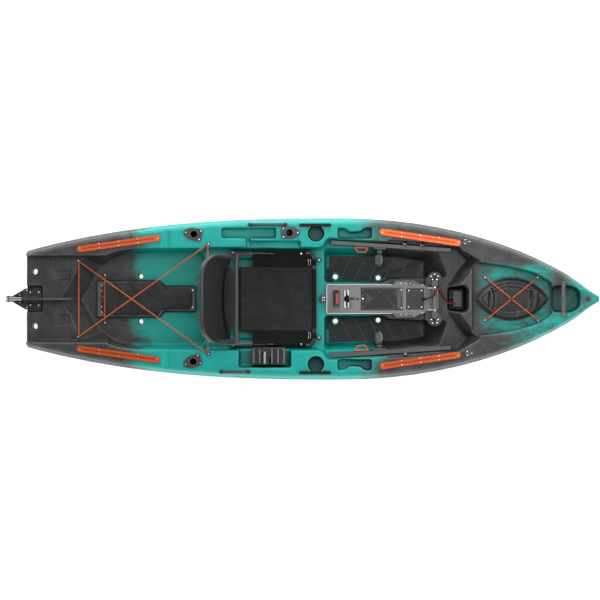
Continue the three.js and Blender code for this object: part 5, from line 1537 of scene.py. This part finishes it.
def seat_sling():
    """A mesh panel laced tight between the tubes, with darker side bands and two curved seams."""
    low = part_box("seat_sling")[0]
    fore, aft = SEAT_FORE - TUBE * 0.4, low.x
    sag = 0.009

    def level(x, y):
        u = (x - aft) / (fore - aft)
        v = y / SEAT_HALF
        dip = sag * (1 - v * v) * (1 - (2 * u - 1) ** 2) ** 0.6
        dip += 0.0016 * math.sin(38 * v) * math.exp(-((u - 0.06) / 0.10) ** 2)
        dip += 0.0010 * math.sin(46 * u + 3 * v) * abs(v) ** 3
        return SEAT_Z + 0.0075 - dip

    narrow, step = 0.176, -0.338

    def middle(u, v):
        x = aft + (fore - aft) * u
        y = narrow * (2 * v - 1)
        return Vector((x, y, level(x, y)))

    panel = sheet_grid("seat_mesh", 84, 72, middle, 0.0022)
    place(panel, SEAT_MESH, ROOT, "seat_fabric", ["seat_sling"])

    for label, side in SIDES.items():
        def band(u, v, side=side):
            """The side band rolls over the tube and ends under it."""
            x = step + 0.010 + (fore - 0.022 - step) * u
            reach = v * 1.45
            if reach <= 1:
                y = narrow + (SEAT_HALF - 0.003 - narrow) * reach
                return Vector((x, side * y, level(x, y) + 0.0012 + 0.0068 * reach ** 3))
            angle = (reach - 1) / 0.45 * 2.3 + 0.25
            y = SEAT_HALF + (TUBE + 0.0014) * math.sin(angle)
            return Vector((x, side * y, SEAT_Z + (TUBE + 0.0014) * math.cos(angle)))
        piece = sheet_grid(f"seat_side_band_{label}", 60, 30, band, 0.0018)
        place(piece, SEAT_DARK, ROOT, "seat_fabric")

    seams = Shape()
    for side in SIDES.values():
        seam = []
        for i in range(29):
            u = i / 28
            x = aft + 0.004 + (fore - aft - 0.006) * u
            y = side * (0.170 - 0.104 * (3 * max(0.0, u - 0.18) ** 2 / 0.67 ** 2
                                         - 2 * max(0.0, u - 0.18) ** 3 / 0.67 ** 3 if u < 0.85 else 1))
            seam.append(Vector((x, y, level(x, y) + 0.0012)))
        seams.tube(seam, 0.0018, 8)
        edge = [Vector((x, side * (narrow + 0.001), level(x, narrow) + 0.0020)) for x in
                [aft + (fore - 0.012 - aft) * i / 24 for i in range(25)]]
        seams.tube(edge, 0.0014, 8)
    place(smooth(seams.object("seat_seams"), 80), SEAM, ROOT, "seat_fabric")

    rolls = Shape()
    for x0, z_lift, radius in ((aft + 0.004, 0.001, 0.0065),):
        rolls.tube([(x0, -0.178 + 0.356 * i / 20, level(x0, 0) + z_lift) for i in range(21)], radius, 14)
    place(smooth(rolls.object("seat_rear_hem"), 60), SEAT_DARK, ROOT, "seat_fabric")

    sleeve = Shape()
    for side in SIDES.values():
        for y in (side * 0.205,):
            sleeve.tube([(SEAT_FORE, y - 0.016, SEAT_Z), (SEAT_FORE, y + 0.016, SEAT_Z)], TUBE + 0.0020, 20)
            sleeve.box((SEAT_FORE - 0.046, y - 0.014, SEAT_Z + 0.0075),
                       (SEAT_FORE - 0.010, y + 0.014, SEAT_Z + 0.0105), 0.001)
    sleeve.tube([(SEAT_FORE, -0.168, SEAT_Z), (SEAT_FORE, 0.168, SEAT_Z)], TUBE + 0.0016, 24)
    place(smooth(sleeve.object("seat_front_hem"), 60), SEAT_DARK, ROOT, "seat_fabric")
    buckles = Shape()
    for side in SIDES.values():
        y = side * 0.205
        path = rounded_path([(SEAT_FORE - 0.030, y - 0.017, SEAT_Z + 0.0125),
                             (SEAT_FORE - 0.030, y + 0.017, SEAT_Z + 0.0125),
                             (SEAT_FORE - 0.018, y + 0.017, SEAT_Z + 0.0125),
                             (SEAT_FORE - 0.018, y - 0.017, SEAT_Z + 0.0125)],
                            0.004, 3)
        buckles.tube(path, 0.0016, 8, closed=True)
    place(smooth(buckles.object("seat_buckles"), 60), STEEL, ROOT, "steel")


seat_sling()


def back_cover():
    """The black back panel, wrapped round the arch, with seams across it. The padded roll along its top is made
    separately.
    """
    low, high = 0.045, BACK_LENGTH - 0.004

    def half_at(up):
        if up < 0.26:
            return BACK_HALF - 0.004
        t = (up - 0.26) / (high - 0.26)
        return BACK_HALF - 0.004 - 0.066 * t * t

    def point(u, v):
        up = low + (high - low) * u
        half = half_at(up)
        y = half * (2 * v - 1)
        belly = -0.006 * math.cos(math.pi * (v - 0.5)) * math.sin(math.pi * u) ** 0.7
        ripple = 0.0011 * math.sin(30 * u + 6 * v) * abs(2 * v - 1) ** 2
        return on_back(up, y, 0.004 + belly + ripple)

    panel = sheet_grid("back_mesh", 72, 80, point, 0.0024)
    place(panel, BACK_DARK, "seat_back", "seat_fabric", ["back_panel"])

    seams = Shape()
    for up in (0.118, 0.196, 0.395):
        path = [point((up - low) / (high - low), j / 24) + Vector((0.0016, 0, 0.0008)) for j in range(25)]
        seams.tube(path, 0.0016, 8)
    place(smooth(seams.object("back_seams"), 80), SEAM, "seat_back", "seat_fabric")


back_cover()


def puffed(made, pressure, cap, voxel=0.0055):
    """Inflates a closed form with a cloth simulation, holding every point within cap of where it began."""
    remesh = made.modifiers.new("voxels", "REMESH")
    remesh.mode = "VOXEL"
    remesh.voxel_size = voxel
    apply_modifiers(made)
    start = [v.co.copy() for v in made.data.vertices]
    scene = bpy.context.scene
    cloth = made.modifiers.new("cloth", "CLOTH")
    cloth.settings.use_pressure = True
    cloth.settings.uniform_pressure_force = pressure
    cloth.settings.effector_weights.gravity = 0
    cloth.settings.quality = 6
    cloth.settings.tension_stiffness = 18
    cloth.settings.bending_stiffness = 0.6
    for number in range(1, 21):
        scene.frame_set(number)
    apply_modifiers(made)
    scene.frame_set(1)
    for vert, home in zip(made.data.vertices, start):
        move = vert.co - home
        if move.length > cap:
            vert.co = home + move.normalized() * cap
    relax = made.modifiers.new("relax", "SMOOTH")
    relax.factor = 0.5
    relax.iterations = 3
    fine = made.modifiers.new("fine", "SUBSURF")
    fine.levels = fine.render_levels = 1
    return apply_modifiers(made)


def lumbar_pad():
    """A crescent pad: thick in the middle and swept forward at its ends, with a seam across it."""
    shape = Shape()
    columns = 48
    rings = []
    for i in range(columns + 1):
        v = 2 * i / columns - 1
        side = 0.184 * v
        reach = max(0.06, 1 - abs(v) ** 3.2)
        middle = 0.106
        tall = 0.060 * (0.42 + 0.58 * (1 - abs(v) ** 2.4))
        thick = 0.0165 * reach ** 0.45
        front = 0.0235 + 0.003 * abs(v) ** 2
        ring = []
        for x, y in circle(1, 20):
            flat = math.copysign(abs(x) ** 0.62, x)
            deep = math.copysign(abs(y) ** 0.8, y)
            ring.append(on_back(middle + tall * flat, side, front + thick * deep - 0.004 * abs(v) ** 3))
        rings.append(ring)
    shape.skin(rings)
    made = shape.object("lumbar_cushion")
    puffed(made, 3.0, 0.006)
    smooth(made, 80)
    for vert in made.data.vertices:
        relative = vert.co - PIVOT
        up = -relative.x * math.sin(LEAN) + relative.z * math.cos(LEAN)
        front = relative.x * math.cos(LEAN) + relative.z * math.sin(LEAN)
        side = vert.co.y
        tuck = 0.0
        for seam_side in (-0.098, 0.098):
            tuck += math.exp(-((side - seam_side - (up - 0.106) * 0.35 * math.copysign(1, seam_side)) / 0.0045) ** 2)
        tuck += 0.8 * math.exp(-((up - 0.104) / 0.004) ** 2) * (1 if abs(side) < 0.098 else 0.4)
        if front > 0.02:
            shift = min(1.0, tuck) * 0.0034
            vert.co.x -= shift * math.cos(LEAN)
            vert.co.z -= shift * math.sin(LEAN)
    place(made, LUMBAR_FABRIC, "seat_back", "seat_fabric", ["lumbar_pad"])
    piping = Shape()
    edge = []
    for i in range(64):
        a = 2 * math.pi * i / 64
        v = math.cos(a)
        tall = 0.060 * (0.42 + 0.58 * (1 - abs(v) ** 2.4))
        up = 0.106 + tall * math.copysign(abs(math.sin(a)) ** 0.8, math.sin(a)) * 1.02
        edge.append(on_back(up, 0.186 * v, 0.0235 - 0.003))
    piping.tube(edge, 0.0024, 8, closed=True)
    place(smooth(piping.object("lumbar_piping"), 80), WEBBING, "seat_back", "webbing")


lumbar_pad()


def top_roll():
    """The padded roll round the top of the arch."""
    shape = Shape()
    columns = 40
    rings = []
    for i in range(columns + 1):
        v = 2 * i / columns - 1
        side = 0.150 * v
        up = BACK_LENGTH - 0.004 - 0.012 * abs(v) ** 3
        size = 0.0155 * max(0.25, 1 - abs(v) ** 8) ** 0.5
        rings.append([on_back(up - 0.012 + 0.022 * x * size / 0.0155, side, 0.0 + size * 1.0 * y) for x,
                      y in circle(1, 20)])
    shape.skin(rings)
    made = shape.object("back_top_roll")
    puffed(made, 2.0, 0.0025)
    smooth(made, 80)
    place(made, BACK_DARK, "seat_back", "seat_fabric")


top_roll()


def straps():
    """Recline webbing from the hull side to the back, with a buckle on each."""
    for label, side in SIDES.items():
        node = f"recline_strap_{label}"
        start = on_back(0.214, 0, 0.014)
        end = Vector((-0.196, 0, SEAT_Z + TUBE + 0.015))
        y = side * (SEAT_HALF - 0.001)
        path = []
        steps = 40
        for i in range(steps + 1):
            t = i / steps
            sway = 0.0012 * math.sin(math.pi * t) * math.sin(11 * t)
            sag = -0.004 * math.sin(math.pi * t)
            p = start.lerp(end, t)
            path.append(Vector((p.x, y + side * sway, p.z + sag)))
        along = (end - start).normalized()
        up = Vector((-along.z, 0, along.x))
        shape = Shape()
        rings = []
        for i, p in enumerate(path):
            twist = 0.22 * math.sin(math.pi * i / steps * 2)
            wide = up * math.cos(twist) + Vector((0, side, 0)) * math.sin(twist)
            thin = Vector((0, side, 0)) * math.cos(twist) - up * math.sin(twist)
            rings.append([p + wide * a * 0.0118 + thin * b * 0.0011 for a, b in
                          ((-1, -1), (-0.33, -1.15), (0.33, -1.15), (1, -1), (1, 1), (0.33, 1.15),
                           (-0.33, 1.15), (-1, 1))])
        shape.skin(rings)
        made = shape.object(f"recline_webbing_{label}")
        smooth(made, 50)
        made.data.materials.clear()
        made.data.materials.append(WEBBING)
        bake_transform(made)
        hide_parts(node)
        buckle = Shape()
        at = end.lerp(start, 0.10)
        buckle.box((at.x - 0.014, y - 0.004, at.z - 0.014), (at.x + 0.014, y + 0.0045, at.z + 0.014), 0.002)
        clip = buckle.object(f"strap_buckle_{label}")
        soften(smooth(clip), 0.0015)
        place(clip, BLACK_PLASTIC, ROOT, "black_plastic")


straps()


# ---------- stage, light and camera ----------

def stage():
    bpy.ops.mesh.primitive_plane_add(size=40, location=(0, 0, 0))
    floor = bpy.context.object
    floor.name = "floor"
    f = Finish("floor_paper", 0.9, Specular_IOR_Level=0.1)
    f.colour(f.ramp(f.noise(3, 2), (0.3, 0.93), (0.7, 0.97)))
    f.shader.inputs["Emission Color"].default_value = (1, 1, 1, 1)
    f.shader.inputs["Emission Strength"].default_value = 0.85
    floor.data.materials.append(f.material)


def area_light(name, at, target, size, power, colour=(1, 1, 1), shape="RECTANGLE", width=None):
    data = bpy.data.lights.new(name, "AREA")
    data.shape = shape
    data.size = width or size
    data.size_y = size
    data.energy = power
    data.color = colour
    made = bpy.data.objects.new(name, data)
    bpy.context.scene.collection.objects.link(made)
    made.location = at
    made.rotation_euler = (Vector(target) - Vector(at)).to_track_quat("-Z", "Y").to_euler()
    return made


def lights():
    world = bpy.data.worlds.new("studio")
    bpy.context.scene.world = world
    world.use_nodes = True
    world.node_tree.nodes["Background"].inputs["Color"].default_value = (1, 1, 1, 1)
    world.node_tree.nodes["Background"].inputs["Strength"].default_value = 0.30
    area_light("overhead", (0.3, 0.9, 4.5), (0, 0, 0.2), 1.4, 62, width=4.5)
    area_light("port_side", (-0.3, 3.6, 1.6), (0, 0.3, 0.2), 0.8, 62, width=4.0)
    area_light("starboard_fill", (0.2, -3.6, 2.2), (0, -0.2, 0.2), 1.2, 12, width=3.6)
    area_light("bow_edge", (3.6, 0.4, 1.8), (1.2, 0, 0.3), 1.0, 12)


def camera():
    """Straight down from well above, so that the hull fills the width of the picture."""
    data = bpy.data.cameras.new("camera")
    made = bpy.data.objects.new("camera", data)
    bpy.context.scene.collection.objects.link(made)
    distance = 16.0
    deck = 0.30
    view_width = 1.014 * (cad_box[1][0] - cad_box[0][0])
    data.sensor_width = 36
    data.lens = data.sensor_width * distance / view_width
    middle = (cad_box[0][0] + cad_box[1][0]) / 2
    made.location = (middle - 0.006, -0.006, deck + distance)
    made.rotation_euler = (0, 0, 0)
    data.clip_end = 100
    bpy.context.scene.camera = made


stage()
lights()
camera()
bpy.context.scene.view_settings.view_transform = "Standard"
